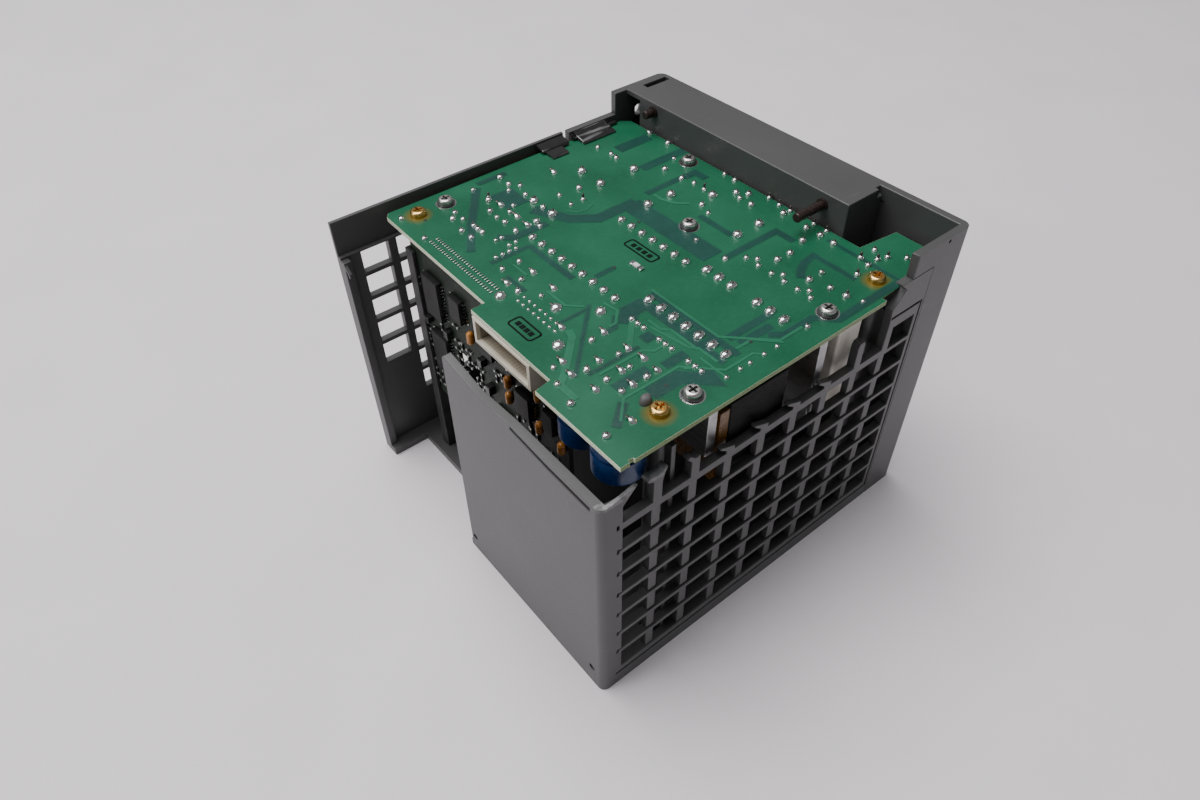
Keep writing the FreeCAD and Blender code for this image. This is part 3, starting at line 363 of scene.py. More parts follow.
def board_green():
    """Solder mask over glass cloth; pale cut edges and scorched rings at the brass screws."""
    material, tree, surface, place = shader("board_green")
    cloud = noise(tree, place, 22.0, 4.0)
    base = ramp(tree, cloud, [(0.3, BOARD_GREENS[0]), (0.7, BOARD_GREENS[1])])
    weave = noise(tree, place, 0.7, 2.0, (1, 0.35, 1))
    base = blend_colour(tree, ramp(tree, weave, [(0.45, grey(0.0)), (0.75, grey(0.22))]),
                        base, (0.012, 0.145, 0.070))
    for low, high in islands("case_board_screws"):
        centre = ((low.x + high.x) / 2 + SCORCH_SHIFT * MM,
                  (low.y + high.y) / 2 - SCORCH_SHIFT * MM, TOP)
        away = calc(tree, "DIVIDE", distance_to(tree, place, centre), SCORCH_RADIUS * MM)
        ring = ramp(tree, away, [(0.50, grey(0.85)), (0.72, grey(0.45)), (1.0, grey(0.0))])
        base = blend_colour(tree, ring, base, (0.13, 0.085, 0.006))
    turned = tree.nodes.new("ShaderNodeNewGeometry").outputs["Normal"]
    upright = calc(tree, "ABSOLUTE", axis_of(tree, turned, "Z"))
    edge = calc(tree, "LESS_THAN", upright, EDGE_TURN)
    threads = noise(tree, place, 0.4, 2.0)
    pale = ramp(tree, threads, [(0.3, (0.46, 0.52, 0.36)), (0.7, (0.66, 0.70, 0.54))])
    olive = ramp(tree, threads, [(0.3, (0.10, 0.16, 0.045)), (0.7, (0.20, 0.27, 0.09))])
    sideways = calc(tree, "GREATER_THAN", calc(tree, "ABSOLUTE", axis_of(tree, turned, "X")), 0.7)
    fibre = blend_colour(tree, sideways, pale, olive)
    base = blend_colour(tree, edge, base, fibre)
    tree.links.new(base, surface.inputs["Base Color"])
    roughness(tree, surface, cloud, 0.30, 0.42)
    bump(tree, surface, weave, 0.008, 0.5)
    surface.inputs["Specular IOR Level"].default_value = 0.35
    return material


def mask_tint(name, dark, light, rough=(0.28, 0.38)):
    """Solder mask seen over copper or over bare laminate."""
    return mottled(name, dark, light, 9.0, rough, 0.0, 0.7, 0.006, (1, 0.4, 1))


def board_dark():
    """Darker mask of the upright control board."""
    return mottled("board_dark", (0.004, 0.010, 0.006), (0.009, 0.018, 0.009), 5.0,
                   (0.45, 0.6), 0.0, 0.6, 0.008, specular=0.25)


def plated_steel():
    return mottled("plated_steel", (0.62, 0.58, 0.57), (0.76, 0.71, 0.70), 1.5, (0.24, 0.38),
                   1.0, 0.25, 0.006)


def brass_plated():
    return mottled("brass_plated", (0.62, 0.38, 0.11), (0.80, 0.55, 0.21), 1.5, (0.18, 0.34),
                   1.0, 0.25, 0.006)


def bare_aluminium():
    """Sawn and rolled aluminium plate with fine drawing lines."""
    return mottled("bare_aluminium", grey(0.34), grey(0.48), 2.5, (0.30, 0.48), 0.9, 0.35,
                   0.02, (0.12, 1, 1))


def tinned_copper():
    return mottled("tinned_copper", (0.72, 0.74, 0.73), (0.90, 0.92, 0.90), 0.8, (0.05, 0.20),
                   1.0, 0.35, 0.03)


def cut_lead():
    """Clipped end of a lead: much duller than the solder round it."""
    return mottled("cut_lead", (0.050, 0.046, 0.042), (0.11, 0.10, 0.095), 0.8, (0.30, 0.5),
                   0.7, 0.35, 0.02)


def header_tail():
    """Narrow tinned pin end."""
    return mottled("header_tail", (0.40, 0.42, 0.40), (0.56, 0.58, 0.55), 0.8, (0.22, 0.40),
                   0.9, 0.35, 0.02)


def recess_shade():
    """Painted shade at the bottom of a cross recess."""
    return mottled("recess_shade", grey(0.006), grey(0.014), 0.6, (0.5, 0.65), 0.0, 0.3, 0.01,
                   specular=0.2)


def washer_steel_and_shade():
    """Dark spring steel, made darker still as painted shade under the screw heads."""
    return mottled("washer_steel_and_shade", grey(0.035), grey(0.075), 1.0, (0.35, 0.5), 0.7, 0.3, 0.01)


def device_black():
    return mottled("device_black", grey(0.007), grey(0.014), 2.0, (0.45, 0.6), 0.0, 0.15,
                   0.01, specular=0.25)


def pad_grey():
    return mottled("pad_grey", grey(0.24), grey(0.32), 2.0, (0.6, 0.75), 0.0, 0.4, 0.01)


def ferrite():
    return mottled("ferrite", (0.006, 0.0055, 0.0055), (0.014, 0.013, 0.013), 3.0, (0.6, 0.8),
                   0.0, 0.3, 0.03, specular=0.2)


TAPE_WIDTH = 5.2


def yellow_tape():
    """Amber film tape wound in overlapping turns."""
    material, tree, surface, place = shader("yellow_tape")
    z = axis_of(tree, place, "Z")
    turns = calc(tree, "FRACT", calc(tree, "DIVIDE", z, TAPE_WIDTH * MM))
    lap = ramp(tree, turns, [(0.0, grey(0.0)), (0.05, grey(1.0)), (0.96, grey(1.0)),
                             (1.0, grey(0.0))])
    tone = ramp(tree, noise(tree, place, 3.0), [(0.3, (0.12, 0.052, 0.010)),
                                                (0.7, (0.19, 0.088, 0.016))])
    base = blend_colour(tree, lap, (0.06, 0.026, 0.005), tone)
    tree.links.new(base, surface.inputs["Base Color"])
    roughness(tree, surface, noise(tree, place, 0.8), 0.22, 0.38)
    bump(tree, surface, lap, 0.03)
    return material


def can_blue():
    return mottled("can_blue", (0.002, 0.018, 0.075), (0.003, 0.028, 0.110), 5.0,
                   (0.26, 0.38), 0.0, 0.8, 0.003)


def can_black():
    return mottled("can_black", grey(0.010), grey(0.018), 4.0, (0.18, 0.32), 0.0, 0.8, 0.01)


def copper_wire():
    return mottled("copper_wire", (0.42, 0.13, 0.045), (0.62, 0.24, 0.085), 1.5,
                   (0.14, 0.26), 0.85, 0.4, 0.008)


def beige_block():
    return mottled("beige_block", (0.66, 0.62, 0.54), (0.76, 0.72, 0.63), 4.0, (0.34, 0.5),
                   0.0, 0.4, 0.012)


def yellow_block():
    return mottled("yellow_block", (0.52, 0.33, 0.03), (0.66, 0.44, 0.06), 3.0, (0.28, 0.42),
                   0.0, 0.4, 0.01)


def blue_disc():
    return mottled("blue_disc", (0.010, 0.070, 0.28), (0.018, 0.105, 0.38), 2.0, (0.22, 0.4),
                   0.0, 0.8, 0.05)


def dark_disc():
    return mottled("dark_disc", (0.022, 0.024, 0.020), (0.045, 0.047, 0.040), 2.0,
                   (0.35, 0.55), 0.0, 0.7, 0.04)


def orange_bead():
    return mottled("orange_bead", (0.32, 0.12, 0.020), (0.48, 0.20, 0.040), 1.6, (0.16, 0.28),
                   0.0, 0.6, 0.02)


def white_part():
    return mottled("white_part", grey(0.55), grey(0.68), 2.0, (0.35, 0.5), 0.0, 0.3, 0.01)


SOCKET_RIM = 1.5
SOCKET_TOP_RIM = 1.1
SOCKET_REAR_RIM = 1.6      # cream border of the cavity's painted shade towards -Y and towards +Y
SOCKET_FRONT_RIM = 0.4


def cream_socket():
    """Cream moulding; its cavity is painted dark as shade, in stripes along the close rows of
    contact slots.
    """
    material, tree, surface, place = shader("cream_socket")
    low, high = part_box("backplane_socket")
    x = axis_of(tree, place, "X")
    y = axis_of(tree, place, "Y")
    z = axis_of(tree, place, "Z")
    rim = SOCKET_RIM * MM
    # painted shade inside the socket's mouth
    cavity_shade = calc(tree, "MULTIPLY",
                  between(tree, x, low.x + rim, high.x - rim, 0.2 * MM),
                  between(tree, z, low.z + rim, high.z - SOCKET_TOP_RIM * MM, 0.2 * MM))
    deep = between(tree, y, low.y + SOCKET_REAR_RIM * MM, high.y - SOCKET_FRONT_RIM * MM,
                   0.5 * MM)
    cavity_shade = calc(tree, "MULTIPLY", cavity_shade, deep)
    slots = calc(tree, "FRACT", calc(tree, "DIVIDE", x, FINE_PITCH * MM))
    # the cavity's painted shade, darker still in the contact slots
    shaded_slot_stripes = ramp(tree, slots, [(0.38, (0.22, 0.15, 0.085)), (0.46, (0.030, 0.020, 0.013)),
                                (0.92, (0.030, 0.020, 0.013)), (1.0, (0.22, 0.15, 0.085))])
    cream = ramp(tree, noise(tree, place, 5.0, 5.0), [(0.32, (0.60, 0.55, 0.44)),
                                                      (0.68, (0.72, 0.67, 0.55))])
    tree.links.new(blend_colour(tree, cavity_shade, cream, shaded_slot_stripes), surface.inputs["Base Color"])
    fine = noise(tree, place, 0.3, 3.0)
    roughness(tree, surface, fine, 0.32, 0.46)
    bump(tree, surface, fine, 0.01)
    return material


def gold_contact():
    return mottled("gold_contact", (0.62, 0.40, 0.15), (0.80, 0.57, 0.25), 0.8, (0.16, 0.28),
                   1.0, 0.25, 0.005)


def black_nylon():
    return mottled("black_nylon", grey(0.014), grey(0.026), 3.0, (0.40, 0.58), 0.0, 0.3, 0.015)


def fuse_glass():
    material = mottled("fuse_glass", grey(0.85), grey(0.92), 3.0, (0.02, 0.07), 0.0, 0.8, 0.002)
    surface = material.node_tree.nodes["Principled BSDF"]
    surface.inputs["Transmission Weight"].default_value = 0.95
    surface.inputs["IOR"].default_value = 1.5
    return material


MAKERS = [case_plastic, door_plastic, latch_plastic, label_plastic, clear_plastic, led_green,
          board_green, board_dark, plated_steel, brass_plated, bare_aluminium, tinned_copper,
          cut_lead, header_tail, washer_steel_and_shade, recess_shade, device_black, pad_grey, ferrite,
          yellow_tape, can_blue, can_black, copper_wire, beige_block, yellow_block, blue_disc,
          dark_disc, orange_bead, white_part, cream_socket, gold_contact, black_nylon,
          fuse_glass, peg_brown]


# ---- mesh helpers ----------------------------------------------------------------------
def islands(node):
    """Lowest and highest corner of each separate solid of a CAD node, from left to right."""
    bm = bmesh.new()
    bm.from_mesh(frame["nodes"][node].data)
    bmesh.ops.remove_doubles(bm, verts=bm.verts, dist=WELD)
    left = set(bm.verts)
    boxes = []
    while left:
        reach = [left.pop()]
        low = Vector(reach[0].co)
        high = Vector(reach[0].co)
        while reach:
            corner = reach.pop()
            low = Vector(map(min, low, corner.co))
            high = Vector(map(max, high, corner.co))
            for edge in corner.link_edges:
                other = edge.other_vert(corner)
                if other in left:
                    left.remove(other)
                    reach.append(other)
        boxes.append((low, high))
    bm.free()
    return sorted(boxes, key=lambda corners: (round(corners[0].x, 4), corners[0].y))


def shade(mesh, degrees):
    """Smooth shading that stays crisp over edges sharper than the angle."""
    mesh.shade_smooth()
    mesh.set_sharp_from_angle(angle=math.radians(degrees))


def add(name, mesh, slot, body=HOUSING, material=None):
    """Puts a mesh in the scene as a piece of a body, with the given material, else the material
    named by the slot.
    """
    piece = bpy.data.objects.new(name, mesh)
    bpy.context.scene.collection.objects.link(piece)
    mesh.materials.clear()
    mesh.materials.append(material or MATERIALS[slot])
    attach(piece, body)
    return piece


def finish_mesh(bm, name, degrees=35.0):
    mesh = bpy.data.meshes.new(name)
    bmesh.ops.recalc_face_normals(bm, faces=bm.faces)
    bm.to_mesh(mesh)
    bm.free()
    shade(mesh, degrees)
    return mesh


ROUNDED_ANGLE = math.radians(40.0)
ROOM_TO_ROUND = 2.4        # shortest neighbour of a rounded edge, in widths of the rounding


def roundable(edge, width):
    """True for a sharp edge whose neighbours are all long enough to round."""
    if len(edge.link_faces) != 2 or edge.calc_face_angle(0.0) < ROUNDED_ANGLE:
        return False
    lengths = [other.calc_length() for corner in edge.verts for other in corner.link_edges]
    return min(lengths) > ROOM_TO_ROUND * width * MM


def rounded_copy(node, width):
    """A copy of a CAD node with its sharp edges rounded, which stands for the node."""
    mesh = frame["nodes"][node].data.copy()
    bm = bmesh.new()
    bm.from_mesh(mesh)
    bmesh.ops.remove_doubles(bm, verts=bm.verts, dist=WELD)
    bmesh.ops.dissolve_limit(bm, angle_limit=math.radians(0.5), verts=bm.verts, edges=bm.edges)
    sharp = [edge for edge in bm.edges if roundable(edge, width)]
    bmesh.ops.bevel(bm, geom=sharp, offset=width * MM, offset_type="OFFSET", segments=2,
                    profile=0.5, affect="EDGES", clamp_overlap=False)
    bm.to_mesh(mesh)
    bm.free()
    for attribute in ("custom_normal", "sharp_edge", "sharp_face"):
        if attribute in mesh.attributes:
            mesh.attributes.remove(mesh.attributes[attribute])
    shade(mesh, 50.0)
    holder = bpy.data.objects.new(node + "_source", mesh)
    bpy.context.scene.collection.objects.link(holder)
    even = holder.modifiers.new("even_shading", "WEIGHTED_NORMAL")
    even.keep_sharp = True
    bpy.context.view_layer.update()
    graph = bpy.context.evaluated_depsgraph_get()
    made = bpy.data.meshes.new_from_object(holder.evaluated_get(graph))
    bpy.data.objects.remove(holder)
    piece = add(node + "_finished", made, SLOT_OF[node], BODY_OF[node])
    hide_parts(node)
    return piece


def block(bm, low, high):
    """Box between two corners given in millimetres."""
    corners = [bm.verts.new(Vector((x, y, z)) * MM)
               for x in (low[0], high[0]) for y in (low[1], high[1]) for z in (low[2], high[2])]
    for a, b, c, d in ((0, 1, 3, 2), (4, 6, 7, 5), (0, 4, 5, 1), (2, 3, 7, 6), (0, 2, 6, 4),
                       (1, 5, 7, 3)):
        bm.faces.new((corners[a], corners[b], corners[c], corners[d]))


def rounded_blocks(boxes, width, name):
    """Several boxes, in millimetres, with rounded edges, as one mesh."""
    bm = bmesh.new()
    for low, high in boxes:
        block(bm, low, high)
    bmesh.ops.bevel(bm, geom=list(bm.edges), offset=width * MM, segments=2, profile=0.6,
                    affect="EDGES")
    return finish_mesh(bm, name, 40.0)


def lathe(bm, x, y, z, rings, sides=14, stretch=(1.0, 1.0), lean=(0.0, 0.0)):
    """Stack of rings (radius, height, share of the lean) over a place, closed at the top."""
    previous = None
    for radius, height, share in rings:
        ring = []
        for step in range(sides):
            angle = 2 * math.pi * step / sides
            point = Vector((x + lean[0] * share + radius * stretch[0] * math.cos(angle),
                            y + lean[1] * share + radius * stretch[1] * math.sin(angle),
                            z + height))
            ring.append(bm.verts.new(point * MM))
        if previous:
            for step in range(sides):
                after = (step + 1) % sides
                bm.faces.new((previous[step], previous[after], ring[after], ring[step]))
        else:
            bm.faces.new(list(reversed(ring)))
        previous = ring
    bm.faces.new(previous)


def ribbon(bm, points, width, z, thick):
    """Flat strip of even width along a line of (x, y) points, mitred at its bends."""
    path = [Vector(point) for point in points]
    sides = []
    for index, point in enumerate(path):
        before = (point - path[index - 1]).normalized() if index else None
        after = (path[index + 1] - point).normalized() if index + 1 < len(path) else None
        ways = [way for way in (before, after) if way is not None]
        mean = sum(ways, Vector((0, 0))).normalized()
        across = Vector((-mean.y, mean.x))
        lengthen = 1.0 / max(0.5, across.dot(Vector((-ways[0].y, ways[0].x))))
        offset = across * (width / 2 * lengthen)
        sides.append((point + offset, point - offset))
    rows = []
    for left, right in sides:
        rows.append([bm.verts.new(Vector((p.x, p.y, h)) * MM)
                     for h in (z, z + thick) for p in (left, right)])
    for near, far in zip(rows, rows[1:]):
        for a, b in ((0, 2), (2, 3), (3, 1), (1, 0)):
            bm.faces.new((near[a], near[b], far[b], far[a]))
    bm.faces.new((rows[0][0], rows[0][1], rows[0][3], rows[0][2]))
    bm.faces.new((rows[-1][0], rows[-1][2], rows[-1][3], rows[-1][1]))


# ---- main board, solder side -----------------------------------------------------------
SOLDER_TOP = TOP / MM
SUNK = 0.02                # how far solder and surface parts reach into their board's face


def solder_mound(bm, leads, x, y, radius, pin, stretch=(1.0, 1.0), lean=(0.0, 0.0)):
    """Round bead of solder, and the clipped lead that stands out of its crown."""
    lead = min(0.60, radius * 0.40)
    height = radius * 0.82
    rings = [(radius, 0.0, 0.0), (radius * 0.99, height * 0.14, 0.03),
             (radius * 0.92, height * 0.44, 0.12), (radius * 0.76, height * 0.76, 0.25),
             (radius * 0.56, height * 0.94, 0.38), (lead, height * 1.02, 0.45)]
    lathe(bm, x, y, SOLDER_TOP - SUNK, rings, 14, stretch, lean)
    top = max(pin, height * 1.02 + 0.24)
    stem = [(lead * 0.96, height * 0.9, 0.42), (lead * 0.94, top - 0.12, 0.95),
            (lead * 0.6, top, 1.0)]
    lathe(leads, x, y, SOLDER_TOP - SUNK, stem, 8, (1.0, 1.0), lean)


def row(x, y, count, pitch, rise=0.0):
    return [(x + pitch * index, y + rise * index) for index in range(count)]


LARGE_JOINTS = (row(24.7, -17.0, 7, 5.28) + row(24.9, 6.3, 3, 5.25) + row(45.8, 6.3, 3, 5.25))
ROW_JOINTS = row(-23.5, -24.3, 9, 5.16) + row(-13.0, 4.1, 7, 5.13)
LONE_LARGE = [(17.7, 36.6), (17.6, 26.8), (-35.0, 28.3), (-14.1, 27.0), (-14.3, 16.8),
              (-45.8, 13.3), (-35.0, 13.1), (-4.6, 37.4), (-30.3, -11.3), (-40.8, -11.3)]
POWER_LEGS = [(x + dx, 19.9 + dy) for x in (28.2, 38.8, 49.2)
              for dx, dy in ((0, 0), (2.7, 2.2), (5.2, -0.1))]
FINE_LEGS = [place for x in (28.2, 39.9, 51.8) for place in row(x, -26.7, 3, 2.6)]
MEDIUM_JOINTS = [(35.2, 32.2), (35.0, 26.6), (48.2, 26.2), (-28.0, 36.8), (-41.2, 50.2),
                 (-37.6, 5.6), (-51.3, -22.7), (-61.0, -11.4), (-30.2, -17.9), (60.4, 28.5),
                 (44.3, -61.2), (59.0, -61.4), (19.6, -31.4), (2.7, 47.4), (7.9, 43.2),
                 (34.6, 47.0), (40.4, 46.6), (18.5, 47.4), (-0.7, 44.8), (33.0, 40.4)]
SMALL_JOINTS = [(48.1, 32.0), (62.6, 9.2), (24.4, 14.6), (11.2, 14.9), (2.4, 28.6), (54.9, 28.0),
                (51.0, 53.6), (54.8, 45.6), (60.0, 57.8), (28.9, 46.9), (2.6, 43.2),
                (-6.7, 50.2), (-11.9, 50.4), (-19.6, 36.9), (-14.4, 38.1), (-31.4, 44.3),
                (-48.4, 29.0), (-45.2, 28.7), (-55.6, 28.3), (-2.7, 30.5), (-38.1, -2.4),
                (-31.1, -2.9), (-55.3, -11.6), (-46.0, -11.1), (-35.8, -11.2), (-52.0, -13.9),
                (-27.2, -18.6), (-43.0, -18.1), (-40.5, -21.4), (-60.2, -23.1), (-45.2, -26.1),
                (-40.6, -26.5), (-36.4, -26.1), (-30.0, -26.4), (-52.0, -35.6), (-47.0, -35.7),
                (-49.3, -38.3), (-41.4, -39.7), (-36.2, -39.5), (-15.5, -35.2), (-15.5, -41.5),
                (-7.5, -40.1), (2.8, -40.2), (-60.3, -51.2), (-45.4, -51.3), (-3.3, -44.3),
                (37.4, -39.3), (49.2, -39.4), (28.1, -41.4), (49.3, -48.1), (36.8, -50.0),
                (30.4, -56.4), (36.2, -59.5), (43.2, -48.4), (43.3, -40.3)]
SMALL_JOINTS += row(-41.4, -35.1, 3, 2.55)
VIAS = ([(62.9, y) for y in (-3.7, -8.8, -14.3, -18.1, -23.3)]
        + [(-22.0, -31.9 - 2.56 * index) for index in range(4)]
        + [(-24.9, -29.9), (-24.8, -32.6), (-29.8, -32.1), (-29.8, -34.3), (65.2, 30.3)])
CONNECTOR_TAILS = row(0.2, -44.4, 8, 2.6) + row(0.4, -46.9, 8, 2.58)
BENT_LEADS = [(27.9, -36.5), (37.6, -35.8), (49.3, -35.4), (36.3, -45.1), (49.4, -44.1),
              (44.6, -52.9), (59.4, -52.9), (2.4, -35.1), (-8.0, -35.1), (30.4, -52.9),
              (35.9, -54.2), (43.4, -35.0), (43.4, -42.9), (10.3, -40.3), (18.5, -44.3),
              (-8.5, -44.3), (-45.8, -21.0), (-36.4, -21.0), (-30.2, -21.2), (-51.4, 5.4),
              (-51.4, 50.4), (62.8, 57.6)]
TALL_SHOWN = 0.6           # a tall lead ends at this share of its listed height
UPRIGHT_CONES = [(55.6, 39.4), (50.7, 47.1), (54.7, 50.2), (55.9, 53.6)]
TALL_LEADS = [(-9.2, 37.9, 4.3), (-52.0, -9.0, 2.4), (-52.6, -21.8, 3.6), (-31.0, 2.2, 4.0),
              (60.3, 29.0, 3.4), (-30.6, -11.0, 3.4), (-41.2, -10.6, 3.0), (8.8, 51.0, 3.6),
              (14.0, 50.3, 3.6), (18.9, 50.2, 3.6), (29.1, 50.4, 3.4), (34.3, 50.3, 3.4),
              (17.4, 36.9, 3.0), (-45.9, 13.6, 3.6), (-35.2, 13.4, 3.0)]


def solder_joints():
    """Every soldered lead of the board: one mesh of beads and one of clipped ends."""
    bm = bmesh.new()
    leads = bmesh.new()
    for x, y in LARGE_JOINTS:
        solder_mound(bm, leads, x, y, 1.55, 1.5, (1.0, 1.35))
    for x, y in ROW_JOINTS:
        solder_mound(bm, leads, x, y, 1.35, 1.35, (1.0, 1.2))
    for x, y in LONE_LARGE:
        solder_mound(bm, leads, x, y, 1.8, 1.8)
    for x, y in POWER_LEGS + FINE_LEGS:
        solder_mound(bm, leads, x, y, 1.0, 1.15)
    for x, y in MEDIUM_JOINTS:
        solder_mound(bm, leads, x, y, 1.3, SHUFFLE.uniform(1.2, 1.7))
    for x, y in SMALL_JOINTS:
        lean = (SHUFFLE.uniform(-0.5, 0.3), SHUFFLE.uniform(-0.3, 0.5))
        solder_mound(bm, leads, x, y, SHUFFLE.uniform(0.9, 1.15), SHUFFLE.uniform(0.9, 1.35),
                     lean=lean)
    for x, y in VIAS:
        solder_mound(bm, leads, x, y, 0.80, 0.6)
    for x, y in CONNECTOR_TAILS:
        solder_mound(bm, leads, x, y, 0.58, 0.8)
    for x, y in BENT_LEADS:
        lean = (-SHUFFLE.uniform(1.3, 2.3), -SHUFFLE.uniform(0.2, 0.9))
        solder_mound(bm, leads, x, y, 1.1, 1.05, lean=lean)
    for x, y in UPRIGHT_CONES:
        solder_mound(bm, leads, x, y, 1.1, 2.2)
    for x, y, height in TALL_LEADS:
        solder_mound(bm, leads, x, y, 1.0, height * TALL_SHOWN)
    add("lead_ends", finish_mesh(leads, "lead_ends", 60.0), "tinned_copper",
        material=MATERIALS["cut_lead"])
    return add("solder_joints", finish_mesh(bm, "solder_joints", 60.0), "tinned_copper")


BLOBS = ((23.8, -49.8, 2.0), (-5.0, -49.5, 1.9), (10.1, -40.2, 1.9), (19.7, -31.3, 1.8))


def solder_blobs():
    """Large domed blobs over mounting lugs, and the tinned rings under the washers."""
    bm = bmesh.new()
    for x, y, radius in BLOBS:
        rings = [(radius, 0.0, 0), (radius * 0.97, 0.25, 0), (radius * 0.8, 0.75, 0),
                 (radius * 0.5, 1.1, 0), (radius * 0.2, 1.25, 0)]
        lathe(bm, x, y, SOLDER_TOP - SUNK, rings, 22)
    for low, high in islands("bracket_washers"):
        centre = (low + high) / (2 * MM)
        rings = [(3.6, 0.0, 0), (3.55, 0.09, 0), (3.3, 0.12, 0), (2.4, 0.12, 0)]
        lathe(bm, centre.x, centre.y, SOLDER_TOP - SUNK, rings, 40)
    return add("solder_blobs", finish_mesh(bm, "solder_blobs", 50.0), "tinned_copper")


RECESS_ARM = 1.25          # half the cross's length
RECESS_SLOT = 0.38         # half the width of its arms
RECESS_SHADOW = 0.35       # how far it lies below the screw's crown
RECESS_THICK = 0.5


def recess_shadows():
    """Dark cross of painted shade at the bottom of the recess of each silver screw."""
    bm = bmesh.new()
    for low, high in islands("bracket_screws"):
        x = (low.x + high.x) / 2 / MM
        y = (low.y + high.y) / 2 / MM
        top = high.z / MM - RECESS_SHADOW
        # a dark block of painted shade in each arm of the cross
        for long, wide in ((RECESS_ARM, RECESS_SLOT), (RECESS_SLOT, RECESS_ARM)):
            block(bm, (x - long, y - wide, top - RECESS_THICK), (x + long, y + wide, top))
    return add("recess_shadows", finish_mesh(bm, "recess_shadows"), "plated_steel",
               material=MATERIALS["recess_shade"])


HEADER_ROWS = (-48.3, -50.7)
PIN_HALF = (0.2, 0.62)
PIN_HEIGHT = 0.34


def fine_header():
    """Two close rows of narrow pin ends along the rear edge."""
    low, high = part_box("control_header")
    count = int((high.x - low.x) / MM / FINE_PITCH)
    ticks = []
    for index in range(count):
        x = low.x / MM + FINE_PITCH * (index + 0.5)
        for y in HEADER_ROWS:
            ticks.append(((x - PIN_HALF[0], y - PIN_HALF[1], SOLDER_TOP),
                          (x + PIN_HALF[0], y + PIN_HALF[1], SOLDER_TOP + PIN_HEIGHT)))
    return add("fine_header_tails", rounded_blocks(ticks, 0.1, "fine_header"), "tinned_copper",
               material=MATERIALS["header_tail"])


BAND_SUNK = 0.05
BAND_STEP = 0.0006         # each band is this much thicker than the one before, so none coincide
RUN_STEP = 0.0008
DARK_BANDS = [             # (width, points), as in LIGHT_RUNS
    (2.2, [(22.6, -14.4), (58.6, -14.4)]), (2.4, [(22.6, -19.6), (58.4, -19.6)]),
    (5.4, [(25.0, -18.5), (25.0, -25.0), (29.0, -29.0)]), (1.5, [(27.6, -17.0), (27.6, -19.0)]),
    (1.8, [(33.0, -14.0), (33.0, -20.0)]), (1.8, [(38.2, -14.0), (38.2, -20.0)]),
    (1.8, [(43.6, -14.0), (43.6, -20.0)]), (1.8, [(48.8, -14.0), (48.8, -20.0)]),
    (3.6, [(35.2, -28.4), (39.0, -28.4)]), (3.0, [(48.9, -25.0), (48.9, -33.0)]),
    (3.4, [(47.2, -37.0), (47.2, -49.0)]), (5.0, [(56.6, -26.0), (60.4, -27.0), (54.8, -33.0),
                                                 (54.6, -43.0)]),
    (2.6, [(51.8, 6.0), (51.8, -11.8)]), (2.6, [(55.6, 1.8), (55.6, -10.6)]),
    (1.0, [(15.2, -32.0), (33.6, -50.6), (37.2, -54.2)]), (0.9, [(38.6, -33.0), (38.6, -51.0)]),
    (1.6, [(24.0, -29.0), (28.0, -33.0), (28.0, -37.5)]), (0.9, [(16.4, -33.0), (16.4, -43.5)]),
    (2.4, [(52.6, -50.4), (58.4, -57.6)]), (1.8, [(-20.6, -27.8), (2.0, -27.8)]),
    (2.2, [(24.0, 14.0), (24.0, 38.0), (31.5, 38.0)]), (2.0, [(1.5, 25.4), (16.5, 25.4)]),
    (2.4, [(40.6, 38.0), (41.4, 32.0), (43.4, 27.8), (46.0, 25.0)]),
    (2.4, [(66.0, 45.5), (66.0, 18.5), (60.8, 13.4), (60.8, 1.5), (57.6, -1.8)]),
    (8.0, [(-18.5, 12.6), (-2.0, 12.6), (21.0, 12.6)]), (1.6, [(40.6, 37.0), (57.0, 37.0)]),
    (3.6, [(-33.6, 51.0), (-33.6, 30.8)]), (4.6, [(-49.6, 48.0), (-49.6, 33.0)]),
    (2.2, [(-20.0, 37.0), (-20.0, 21.0)]), (4.4, [(-18.6, 15.0), (-18.6, -1.0), (-24.5, -8.6),
                                                 (-37.0, -14.6)]),
    (8.6, [(-53.0, -16.8), (-42.0, -16.8)]), (2.6, [(-60.4, -21.6), (-52.0, -28.0),
                                                  (-42.4, -35.4), (-29.5, -44.0)]),
    (3.0, [(-27.4, -16.0), (-27.4, -29.0), (-31.0, -33.0)]), (1.4, [(-20.4, -28.0),
                                                                   (-20.4, -42.5)]),
    (2.8, [(-14.0, 43.5), (-19.6, 43.5), (-19.6, 38.0)]), (1.2, [(38.0, 46.8), (66.0, 46.8)]),
    (2.0, [(-62.4, -8.0), (-62.4, -20.0)]), (1.2, [(-12.0, -42.6), (-2.0, -42.6)]),
    (1.6, [(5.8, -14.6), (5.8, -22.0)]),
]
